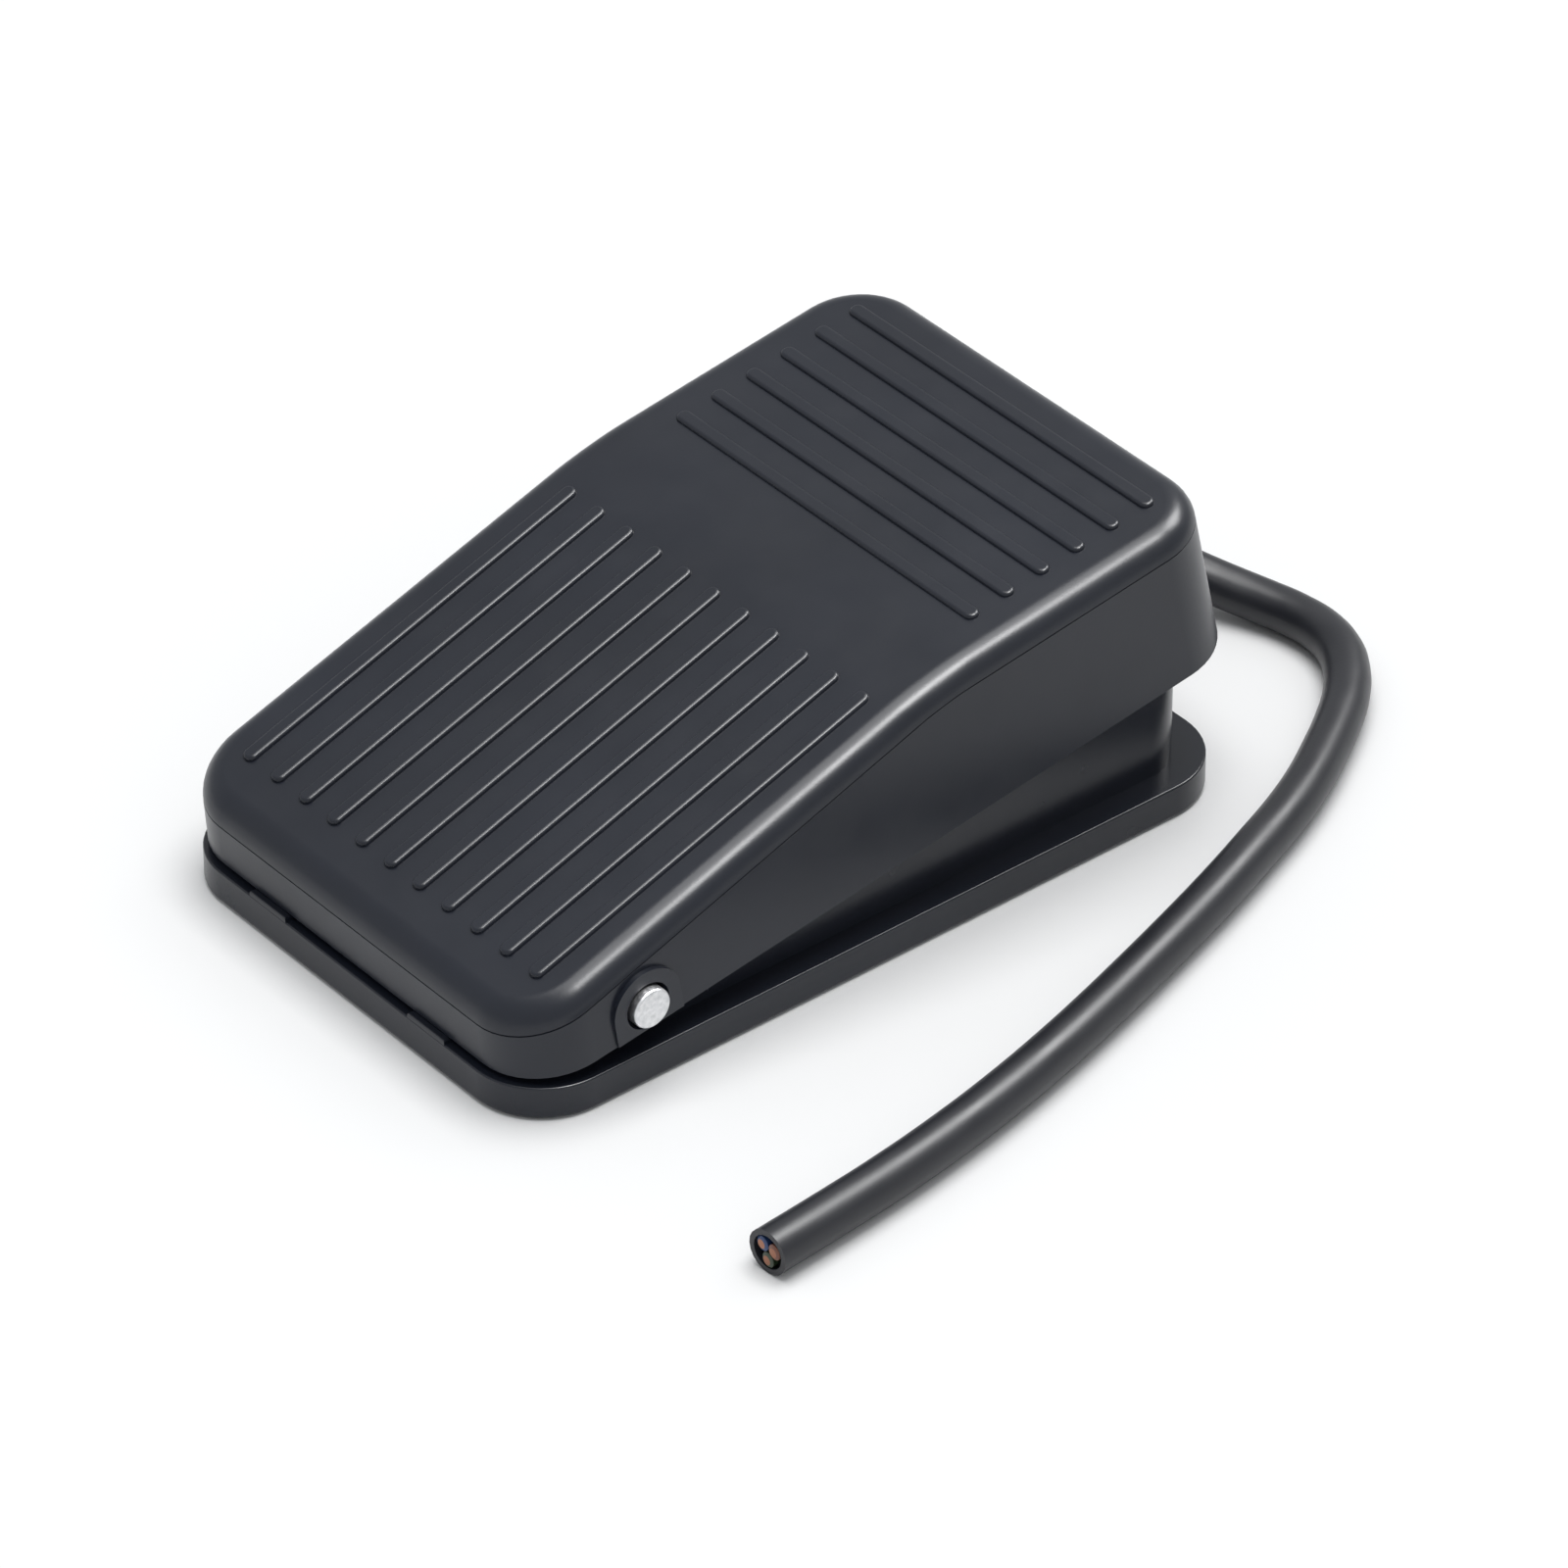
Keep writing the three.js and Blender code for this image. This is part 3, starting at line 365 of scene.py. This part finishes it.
def only(ob):
    deselect()
    ob.select_set(True)
    bpy.context.view_layer.objects.active = ob


def settle(name):
    """Names the new primitive and moves its place into its mesh."""
    ob = bpy.context.object
    ob.name = name
    bpy.ops.object.transform_apply(location=True, rotation=True, scale=True)
    return ob


def block(name, low, high):
    """A box between two corners, in millimetres."""
    low, high = Vector(low) * MM, Vector(high) * MM
    deselect()
    bpy.ops.mesh.primitive_cube_add(size=1, location=(low + high) / 2, scale=high - low)
    return settle(name)


def rod(name, radius, start, end, sides=48):
    """A cylinder from start to end, in millimetres."""
    start, end = Vector(start) * MM, Vector(end) * MM
    along = end - start
    deselect()
    bpy.ops.mesh.primitive_cylinder_add(
        vertices=sides, radius=radius * MM, depth=along.length, location=(start + end) / 2,
        rotation=along.to_track_quat("Z", "Y").to_euler())
    return settle(name)


def pick(ob, kind, test):
    """Goes into edit mode with the edges, faces or vertices that pass the test selected."""
    only(ob)
    bpy.ops.object.mode_set(mode="EDIT")
    bpy.ops.mesh.select_mode(type=kind)
    bpy.ops.mesh.select_all(action="DESELECT")
    mesh = bmesh.from_edit_mesh(ob.data)
    mesh.normal_update()
    for item in {"VERT": mesh.verts, "EDGE": mesh.edges, "FACE": mesh.faces}[kind]:
        item.select_set(bool(test(item)))
    mesh.select_flush_mode()
    bmesh.update_edit_mesh(ob.data)


def leave():
    bpy.ops.object.mode_set(mode="OBJECT")


def round_edges(ob, radius, segments, test):
    pick(ob, "EDGE", test)
    bpy.ops.mesh.bevel(offset=radius * MM, segments=segments, profile=0.5, affect="EDGES")
    leave()


def direction(edge):
    return (edge.verts[0].co - edge.verts[1].co).normalized()


def upright_corner(edge):
    return abs(direction(edge).z) > 0.9 and len(edge.link_faces) == 2 and sharp(edge)


def sharp(edge):
    return edge.calc_face_angle() > 1.0


def facing_toe(face):
    return face.normal.y < -0.9


def everything(item):
    return True


def face_leans(edge):
    """How far up each face beside an edge is turned, lowest first."""
    return sorted(face.normal.z for face in edge.link_faces)


def between(low, high):
    """A test for an edge between a face as good as upright, to within low, and one turned up past high."""
    def test(edge):
        lean = face_leans(edge)
        return len(lean) == 2 and abs(lean[0]) < low and lean[1] > high
    return test


top_rim = between(0.5, 0.8)


def under_the_round(edge):
    """The edge where the cover's wall goes over into the rounding of its top."""
    lean = face_leans(edge)
    return len(lean) == 2 and 0 < lean[0] < WALL_LEAN and ROUND_LEAN[0] < lean[1] < ROUND_LEAN[1]


def bottom_rim(edge):
    lean = face_leans(edge)
    return len(lean) == 2 and lean[0] < -0.8 and abs(lean[1]) < 0.5


def cut_across(ob, y):
    """Adds an edge loop round the piece at y, in millimetres."""
    pick(ob, "FACE", everything)
    bpy.ops.mesh.bisect(plane_co=(0, y * MM, 0), plane_no=(0, 1, 0))
    leave()


def combine(ob, tool, how):
    """Adds the tool to the piece or cuts it away, then uses the tool up."""
    only(ob)
    modifier = ob.modifiers.new("combine", "BOOLEAN")
    modifier.operation = how
    modifier.solver = "EXACT"
    modifier.object = tool
    bpy.ops.object.modifier_apply(modifier=modifier.name)
    bpy.data.objects.remove(tool)
    pick(ob, "VERT", everything)
    bpy.ops.mesh.remove_doubles(threshold=MERGE * MM)
    bpy.ops.mesh.dissolve_degenerate(threshold=MERGE * MM)
    leave()


def join(pieces):
    deselect()
    for piece in pieces:
        piece.select_set(True)
    bpy.context.view_layer.objects.active = pieces[0]
    bpy.ops.object.join()
    return bpy.context.object


def copy_to(ob, place, name):
    twin = ob.copy()
    twin.data = ob.data.copy()
    twin.name = name
    twin.data.transform(place)
    bpy.context.scene.collection.objects.link(twin)
    return twin


def discard(ob):
    bpy.data.objects.remove(ob)


def smooth(ob, degrees=32):
    """Smooth shading up to an angle, with large faces kept flat."""
    only(ob)
    bpy.ops.object.shade_smooth_by_angle(angle=math.radians(degrees))
    modifier = ob.modifiers.new("facing", "WEIGHTED_NORMAL")
    modifier.keep_sharp = True
    modifier.weight = 90
    bpy.ops.object.modifier_apply(modifier=modifier.name)


def finish_piece(ob, name, slot, body, *nodes):
    """Names a piece, gives it the finish of its slot and its body, and hides the nodes it stands for."""
    ob.name = name
    ob.data.materials.clear()
    ob.data.materials.append(materials[slot])
    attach(ob, body)
    if nodes:
        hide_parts(*nodes)
    return ob


# ---- the free lead ------------------------------------------------------------------------------
def lead_curve():
    curve = bpy.data.curves.new("lead_jacket", "CURVE")
    curve.dimensions = "3D"
    spline = curve.splines.new("BEZIER")
    spline.bezier_points.add(len(LEAD_POINTS) - 1)
    for knot, point in zip(spline.bezier_points, LEAD_POINTS):
        knot.co = at(*point)
        knot.handle_left_type = knot.handle_right_type = "AUTO"
    spline.resolution_u = 8
    curve.bevel_depth = LEAD_RADIUS * MM
    curve.bevel_resolution = 8
    curve.use_fill_caps = True
    ob = bpy.data.objects.new("lead_jacket", curve)
    bpy.context.scene.collection.objects.link(ob)
    return ob


def centre_line(lead):
    """The points of the lead's centre line, taken from the curve without its thickness."""
    line = lead.copy()
    line.data = lead.data.copy()
    line.data.bevel_depth = 0
    bpy.context.scene.collection.objects.link(line)
    only(line)
    bpy.ops.object.convert(target="MESH")
    points = [vert.co.copy() for vert in line.data.vertices]
    discard(line)
    return points


def hollow_the_cut(jacket):
    """Turns the lead's curve into a closed mesh and sinks the middle of its cut end, where the cores show."""
    only(jacket)
    bpy.ops.object.convert(target="MESH")
    pick(jacket, "VERT", everything)
    bpy.ops.mesh.remove_doubles(threshold=MERGE * MM)
    bpy.ops.mesh.normals_make_consistent(inside=False)
    leave()
    cut = at(*LEAD_POINTS[-1]).y + MM
    pick(jacket, "FACE", lambda face: facing_toe(face) and face.calc_center_median().y < cut)
    bpy.ops.mesh.inset(thickness=JACKET_WALL * MM)
    bpy.ops.mesh.extrude_region_move(TRANSFORM_OT_translate={"value": (0, CUT_DEPTH * MM, 0)})
    leave()
    smooth(jacket)


def make_lead(boot):
    jacket = lead_curve()
    route = centre_line(jacket)
    hollow_the_cut(jacket)
    finish_piece(jacket, "lead_jacket", "cord_pvc", "base", "cord_jacket")
    ends = [cut_core(name, index) for index, name in enumerate(("blue", "brown", "green"))]


def cut_core(name, index):
    """One core in the lead's cut end: insulation with a copper face that stands for its strands."""
    x, y, z = LEAD_POINTS[-1]
    angle = math.radians(FIRST_CORE - CORE_STEP * index)
    x += CORE_ORBIT * math.cos(angle)
    z += CORE_ORBIT * math.sin(angle)
    y += TRAY_MIDDLE / MM
    core = rod("core_end_" + name, CORE_RADIUS, (x, y + CORE_BACK, z), (x, y + CORE_SUNK, z), CORE_SIDES)
    pick(core, "FACE", facing_toe)
    bpy.ops.mesh.inset(thickness=(CORE_RADIUS - STRAND_RADIUS) * MM)
    bpy.ops.transform.translate(value=(0, -STRAND_PROUD * MM, 0))
    leave()
    smooth(core)
    finish_piece(core, "core_end_" + name, "core_" + name, "base", "core_" + name)
    core.data.materials.append(materials["strand_copper"])
    for face in core.data.polygons:
        if facing_toe(face) and len(face.vertices) == CORE_SIDES:
            face.material_index = 1
    return core


# ---- the treadle cover --------------------------------------------------------------------------
def cover_body(inset):
    """The closed outer form of the cover, or with an inset the hollow inside it."""
    slope = math.tan(TOE_SLOPE) * (COVER_RIDGE - COVER_TOE)
    foot = COVER_FOOT - (HOLLOW_REACH if inset else 0)
    body = block(
        "cover_form", (-COVER_HALF + inset, COVER_TOE + inset, foot),
        (COVER_HALF - inset, COVER_HEEL - inset, COVER_TOP - inset))
    cut_across(body, COVER_RIDGE)
    toe = (COVER_TOE + inset) * MM
    pick(body, "VERT", lambda vert: vert.co.z > 0 and vert.co.y < toe + MM)
    bpy.ops.transform.translate(value=(0, 0, -slope * MM))
    leave()
    for vert in body.data.vertices:
        lean = COVER_DRAFT * (vert.co.z - COVER_FOOT * MM)
        vert.co.x -= math.copysign(lean, vert.co.x)
        if abs(vert.co.y - COVER_RIDGE * MM) > MM:
            vert.co.y -= math.copysign(lean, vert.co.y - COVER_RIDGE * MM)
    round_edges(body, COVER_CORNER - inset, segments=12, test=upright_corner)
    round_edges(body, RIDGE_EASE, segments=10, test=lambda edge: (
        abs(direction(edge).x) > 0.9 and edge.calc_face_angle() > 0.1
        and min(face.normal.z for face in edge.link_faces) > 0.8))
    round_edges(body, COVER_EDGE - inset, segments=7, test=top_rim)
    return body


def rib(name, half_length):
    """One raised rib along Y, with round ends and a softened top."""
    reach = half_length + RIB_HALF
    piece = block(name, (-RIB_HALF, -reach, -RIB_ROOT), (RIB_HALF, reach, RIB_RISE))
    round_edges(piece, RIB_HALF * RIB_END_ROUND, segments=7, test=upright_corner)
    round_edges(piece, RIB_RISE * RIB_TOP_ROUND, segments=4, test=top_rim)
    return piece


def tread_ribs():
    """The long ribs on the sloping toe part and the cross ribs on the flat heel part."""
    middle = (LONG_RIB_FROM + LONG_RIB_TO) / 2
    height = COVER_TOP - math.tan(TOE_SLOPE) * (COVER_RIDGE - middle)
    pattern = rib("long_rib", (LONG_RIB_TO - LONG_RIB_FROM) / 2 / math.cos(TOE_SLOPE))
    tilt = Matrix.Rotation(TOE_SLOPE, 4, "X")
    ribs = []
    for index in range(LONG_RIBS):
        x = (index - (LONG_RIBS - 1) / 2) * RIB_PITCH
        place = Matrix.Translation(Vector((x, middle, height)) * MM) @ tilt
        ribs.append(copy_to(pattern, place, "long_rib_%d" % index))
    discard(pattern)
    pattern = rib("cross_rib", CROSS_RIB_HALF)
    turn = Matrix.Rotation(math.pi / 2, 4, "Z")
    for index in range(CROSS_RIBS):
        y = CROSS_RIB_LAST - index * RIB_PITCH
        place = Matrix.Translation(Vector((0, y, COVER_TOP)) * MM) @ turn
        ribs.append(copy_to(pattern, place, "cross_rib_%d" % index))
    discard(pattern)
    return join(ribs)


def parting_groove(cover):
    """Sinks the fine line that the mould's two halves leave just under the rounded top edge."""
    pick(cover, "EDGE", under_the_round)
    bpy.ops.mesh.bevel(offset=GROOVE_HALF * MM, segments=2, affect="EDGES")
    bpy.ops.mesh.select_mode(type="VERT")
    bpy.ops.mesh.select_less()
    bpy.ops.transform.shrink_fatten(value=-GROOVE_DEPTH * MM)
    leave()


def ear(side):
    """The raised arch round the hinge pin."""
    wall = COVER_HALF + COVER_DRAFT * COVER_FOOT
    low, high = sorted((side * (wall - EAR_ROOT), side * (wall + EAR_RISE)))
    arch = rod("ear", EAR_RADIUS, (low, 0, 0), (high, 0, 0), sides=64)
    pick(arch, "VERT", lambda vert: vert.co.z < -0.1 * MM)
    bpy.ops.transform.resize(value=(1, 1, 0), center_override=(0, 0, (COVER_FOOT + EAR_FOOT) * MM))
    leave()
    return arch


def in_cover(y, z):
    """Turns a point of the tray's frame, with the treadle at rest, into the cover's own reach and height."""
    dy = y - (PIN.y - TRAY_MIDDLE) / MM
    dz = z - PIN.z / MM
    return (
        dy * math.cos(REST_ANGLE) + dz * math.sin(REST_ANGLE),
        dz * math.cos(REST_ANGLE) - dy * math.sin(REST_ANGLE))


def striker_reach():
    """How far along the cover the striker stands over the lever's roller."""
    roller = middle_of("lever_roller")
    return in_cover(roller.y, roller.z + STRIKER_OVER_ROLLER)[0]


def cover_posts():
    """The posts under the cover: the spring's seat and peg, the two stops and the striker's socket."""
    root = COVER_TOP - COVER_WALL / 2
    seat, low = in_cover(SPRING_Y, SPRING_TOP + SEAT_GAP)
    stop, stop_low = in_cover(STOP_Y, STOP_LOW)
    reach = striker_reach()
    posts = [
        rod("spring_seat", SEAT_RADIUS, (0, seat, low), (0, seat, root)),
        rod("spring_peg", PEG_RADIUS, (0, seat, low - PEG_LENGTH), (0, seat, root)),
        rod("striker_post", STRIKER_POST, (0, reach, COVER_TOP - STRIKER_POST_LENGTH), (0, reach, root)),
    ]
    for x in (-STOP_X, STOP_X):
        posts.append(rod("stop_post", STOP_RADIUS, (x, stop, stop_low), (x, stop, root)))
    for post in posts:
        round_edges(post, POST_EASE, segments=2, test=lambda edge: sharp(edge) and face_leans(edge)[0] < -0.9)
    return posts


def striker_bore():
    reach = striker_reach()
    low, high = COVER_TOP - STRIKER_BORE_LOW, COVER_TOP - STRIKER_BORE_HIGH
    return rod("striker_bore", STRIKER_BORE, (0, reach, low), (0, reach, high))


def make_cover():
    cover = cover_body(0)
    parting_groove(cover)
    combine(cover, ear(1), "UNION")
    combine(cover, ear(-1), "UNION")
    combine(cover, tread_ribs(), "UNION")
    combine(cover, cover_body(COVER_WALL), "DIFFERENCE")
    for post in cover_posts():
        combine(cover, post, "UNION")
    combine(cover, striker_bore(), "DIFFERENCE")
    combine(cover, rod("pin_hole", PIN_HOLE, (-THROUGH, 0, 0), (THROUGH, 0, 0), sides=60), "DIFFERENCE")
    cover.data.transform(TREADLE_PLACE)
    smooth(cover)
    finish_piece(cover, "treadle_cover", "cover_plastic", "treadle", "pedal_cover")


# ---- the base tray ------------------------------------------------------------------------------
def housing_form():
    """The block of the inner wall before its pocket is cut. Its top rises from the toe and levels off."""
    body = block(
        "housing_form", (-HOUSING_HALF, HOUSING_TOE, HOUSING_FOOT),
        (HOUSING_HALF, HOUSING_HEEL, HOUSING_BLANK))
    for y, _ in HOUSING_TOP[1:-1]:
        cut_across(body, y)
    for y, height in HOUSING_TOP:
        for vert in body.data.vertices:
            if vert.co.z > HOUSING_FOOT * 2 * MM and abs(vert.co.y - y * MM) < 0.1 * MM:
                vert.co.z = height * MM
    round_edges(body, HOUSING_CORNER, segments=10, test=upright_corner)
    return body


def middle_of(node):
    """The middle of a CAD node, in millimetres in the tray's own frame."""
    low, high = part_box(node)
    centre = (low + high) / 2 / MM
    centre.y -= TRAY_MIDDLE / MM
    return centre


def tray_bosses():
    """What stands on the tray's floor: stop posts, screw pads, the clamp's ledge and the ring round the
    spring cup, and the two low rest pads on the toe's rim."""
    foot = TRAY_FOOT + BOSS_ROOT
    bosses = []
    for side in (-1, 1):
        stop, rest = side * STOP_X, side * REST_PAD_X
        bosses.append(rod("post", STOP_RADIUS, (stop, STOP_Y, foot), (stop, STOP_Y, STOP_POST)))
        pad = block(
            "rest_pad", (rest - REST_PAD_HALF, REST_PAD_TOE, foot),
            (rest + REST_PAD_HALF, REST_PAD_BACK, TRAY_TOP + REST_PAD_RISE))
        round_edges(pad, REST_PAD_EDGE, segments=2, test=top_rim)
        bosses.append(pad)
    for screw in BRACKET_SCREWS:
        spot = middle_of(screw)
        bosses.append(rod("pad", SCREW_PAD, (spot.x, spot.y, foot), (spot.x, spot.y, PAD_TOP)))
    clamp = middle_of("cable_clamp")
    bosses.append(block(
        "ledge", (clamp.x - LEDGE_HALF, clamp.y - LEDGE_DEPTH, foot),
        (clamp.x + LEDGE_HALF, clamp.y + LEDGE_DEPTH, LEDGE_TOP)))
    ring = rod("ring", RING_RADIUS, (0, SPRING_Y, foot), (0, SPRING_Y, RING_TOP))
    bore = rod("ring_bore", RING_BORE, (0, SPRING_Y, foot - OVERCUT), (0, SPRING_Y, RING_TOP + OVERCUT))
    combine(ring, bore, "DIFFERENCE")
    bosses.append(ring)
    return bosses


def tray_holes():
    """The bores for the pin, the strain relief and the four screws, and the recesses for the feet."""
    pin_y, pin_z = (PIN.y - TRAY_MIDDLE) / MM, PIN.z / MM
    boot = middle_of("cable_boot")
    inside, outside = HOUSING_HEEL - BOOT_HOLE_IN, HOUSING_HEEL + BOOT_HOLE_OUT
    holes = [
        rod("pin_hole", PIN_HOLE_IN_TRAY, (-THROUGH, pin_y, pin_z), (THROUGH, pin_y, pin_z)),
        rod("boot_hole", BOOT_HOLE, (boot.x, inside, boot.z), (boot.x, outside, boot.z)),
    ]
    for screw in (*BRACKET_SCREWS, *CLAMP_SCREWS):
        spot = middle_of(screw)
        low = TRAY_FOOT + SCREW_HOLE_LOW
        holes.append(rod(
            "screw_hole", SCREW_HOLE, (spot.x, spot.y, low), (spot.x, spot.y, SCREW_HOLE_HIGH),
            SCREW_HOLE_SIDES))
    for foot in FEET:
        spot = middle_of(foot)
        low, high = (spot.x, spot.y, FOOT_HOLE_LOW), (spot.x, spot.y, FOOT_DEPTH)
        holes.append(rod("foot_recess", FOOT_HOLE, low, high))
    return holes


def make_tray():
    tray = block("tray", (-TRAY_HALF, -TRAY_END, TRAY_FOOT), (TRAY_HALF, TRAY_END, TRAY_TOP))
    round_edges(tray, TRAY_CORNER, segments=14, test=upright_corner)
    round_edges(tray, TRAY_TOP_EDGE, segments=3, test=top_rim)
    round_edges(tray, TRAY_LOW_EDGE, segments=3, test=bottom_rim)
    housing = housing_form()
    round_edges(housing, HOUSING_EDGE, segments=3, test=top_rim)
    combine(tray, housing, "UNION")
    pocket = block(
        "pocket", (-HOUSING_HALF + HOUSING_WALL, HOUSING_TOE + HOUSING_WALL, TRAY_FLOOR),
        (HOUSING_HALF - HOUSING_WALL, HOUSING_HEEL - HOUSING_WALL, POCKET_TOP))
    round_edges(pocket, HOUSING_CORNER - HOUSING_WALL, segments=8, test=upright_corner)
    combine(tray, pocket, "DIFFERENCE")
    for boss in tray_bosses():
        combine(tray, boss, "UNION")
    for hole in tray_holes():
        combine(tray, hole, "DIFFERENCE")
    tray.data.transform(Matrix.Translation((0, TRAY_MIDDLE, 0)))
    smooth(tray)
    finish_piece(tray, "base_tray", "base_plastic", "base", "base_housing")


def make_pin():
    low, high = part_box("pivot_pin")
    middle = (low + high) / 2 / MM
    radius = (high.z - low.z) / 2 / MM
    left, right = low.x / MM, high.x / MM
    pin = rod("hinge_pin", radius, (left, middle.y, middle.z), (right, middle.y, middle.z), sides=64)
    round_edges(pin, PIN_EDGE, segments=3, test=sharp)
    smooth(pin)
    finish_piece(pin, "hinge_pin", "pin_steel", "base", "pivot_pin")


def make_spring():
    """The return spring, a coil of round wire that the treadle comes down on, made at its resting length."""
    curve = bpy.data.curves.new("return_coil", "CURVE")
    curve.dimensions = "3D"
    spline = curve.splines.new("POLY")
    count = round(SPRING_TURNS * SPRING_STEPS)
    rise = SPRING_TOP - SPRING_FOOT - 2 * SPRING_WIRE
    spline.points.add(count)
    for index, point in enumerate(spline.points):
        turn = math.tau * index / SPRING_STEPS
        x, y = SPRING_RADIUS * math.cos(turn), SPRING_Y + SPRING_RADIUS * math.sin(turn)
        point.co = (*at(x, y, SPRING_FOOT + SPRING_WIRE + rise * index / count), 1)
    curve.bevel_depth = SPRING_WIRE * MM
    curve.bevel_resolution = 4
    curve.use_fill_caps = True
    coil = bpy.data.objects.new("return_coil", curve)
    bpy.context.scene.collection.objects.link(coil)
    only(coil)
    bpy.ops.object.convert(target="MESH")
    pick(coil, "VERT", everything)
    bpy.ops.mesh.remove_doubles(threshold=MERGE * MM)
    bpy.ops.mesh.normals_make_consistent(inside=False)
    leave()
    smooth(coil, degrees=50)
    finish_piece(coil, "return_coil", "spring_steel", "base", "return_spring")
    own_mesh(coil)


def make_feet():
    """The four rubber pads under the tray, each with a softened rim and a shallow hollow."""
    for name in FEET:
        low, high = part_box(name)
        middle, radius = (low + high) / 2 / MM, (high.x - low.x) / 2 / MM
        base, top = low.z / MM, high.z / MM
        pad = rod("pad", radius, (middle.x, middle.y, base), (middle.x, middle.y, top), sides=64)
        round_edges(pad, FOOT_EDGE, segments=3, test=bottom_rim)
        pick(pad, "FACE", lambda face: face.normal.z < -0.99)
        bpy.ops.mesh.inset(thickness=FOOT_RIM * MM)
        bpy.ops.mesh.inset(thickness=FOOT_RAMP * MM)
        bpy.ops.transform.translate(value=(0, 0, FOOT_CUP * MM))
        leave()
        smooth(pad)
        finish_piece(pad, "rubber_" + name, "foot_rubber", "base", name)


def make_boot():
    """The strain relief: a flange inside the heel wall, then a short neck with five rings, each a
    little smaller than the last."""
    low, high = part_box("cable_boot")
    middle = middle_of("cable_boot")
    inside, tip = (low.y - TRAY_MIDDLE) / MM, (high.y - TRAY_MIDDLE) / MM + BOOT_LAP

    def sleeve(name, radius, start, end):
        return rod(name, radius, (middle.x, start, middle.z), (middle.x, end, middle.z), sides=64)

    boot = sleeve("boot", BOOT_NECK, inside + BOOT_INSET, tip)
    flange = sleeve("flange", BOOT_FLANGE, inside, HOUSING_HEEL - HOUSING_WALL - BOOT_GAP)
    combine(boot, flange, "UNION")
    for index in range(BOOT_RINGS):
        start = HOUSING_HEEL + BOOT_GAP + index * BOOT_RING_PITCH
        end = start + BOOT_RING_PITCH * BOOT_RING_SHARE
        ring = sleeve("ring", BOOT_COLLAR - index * BOOT_TAPER, start, end)
        round_edges(ring, BOOT_RING_EDGE, segments=3, test=sharp)
        combine(boot, ring, "UNION")
    combine(boot, sleeve("bore", BOOT_BORE, inside - OVERCUT, tip + OVERCUT), "DIFFERENCE")
    smooth(boot)
    boot.data.transform(Matrix.Translation((0, TRAY_MIDDLE, 0)))
    return finish_piece(boot, "lead_boot", "boot_rubber", "base", "cable_boot")


# ---- assembly -----------------------------------------------------------------------------------
def dress_frame():
    """Gives every CAD node the finish of its slot in the record."""
    for part in record["subparts"]:
        node = frame["nodes"][part["node"]]
        node.data.materials.clear()
        node.data.materials.append(materials[part["material_slot"]])


place_camera()
materials = make_materials()
dress_frame()
make_lead(make_boot())
make_cover()
make_tray()
make_pin()
make_spring()
make_feet()
light_studio()
lay_floor()

bpy.context.view_layer.update()
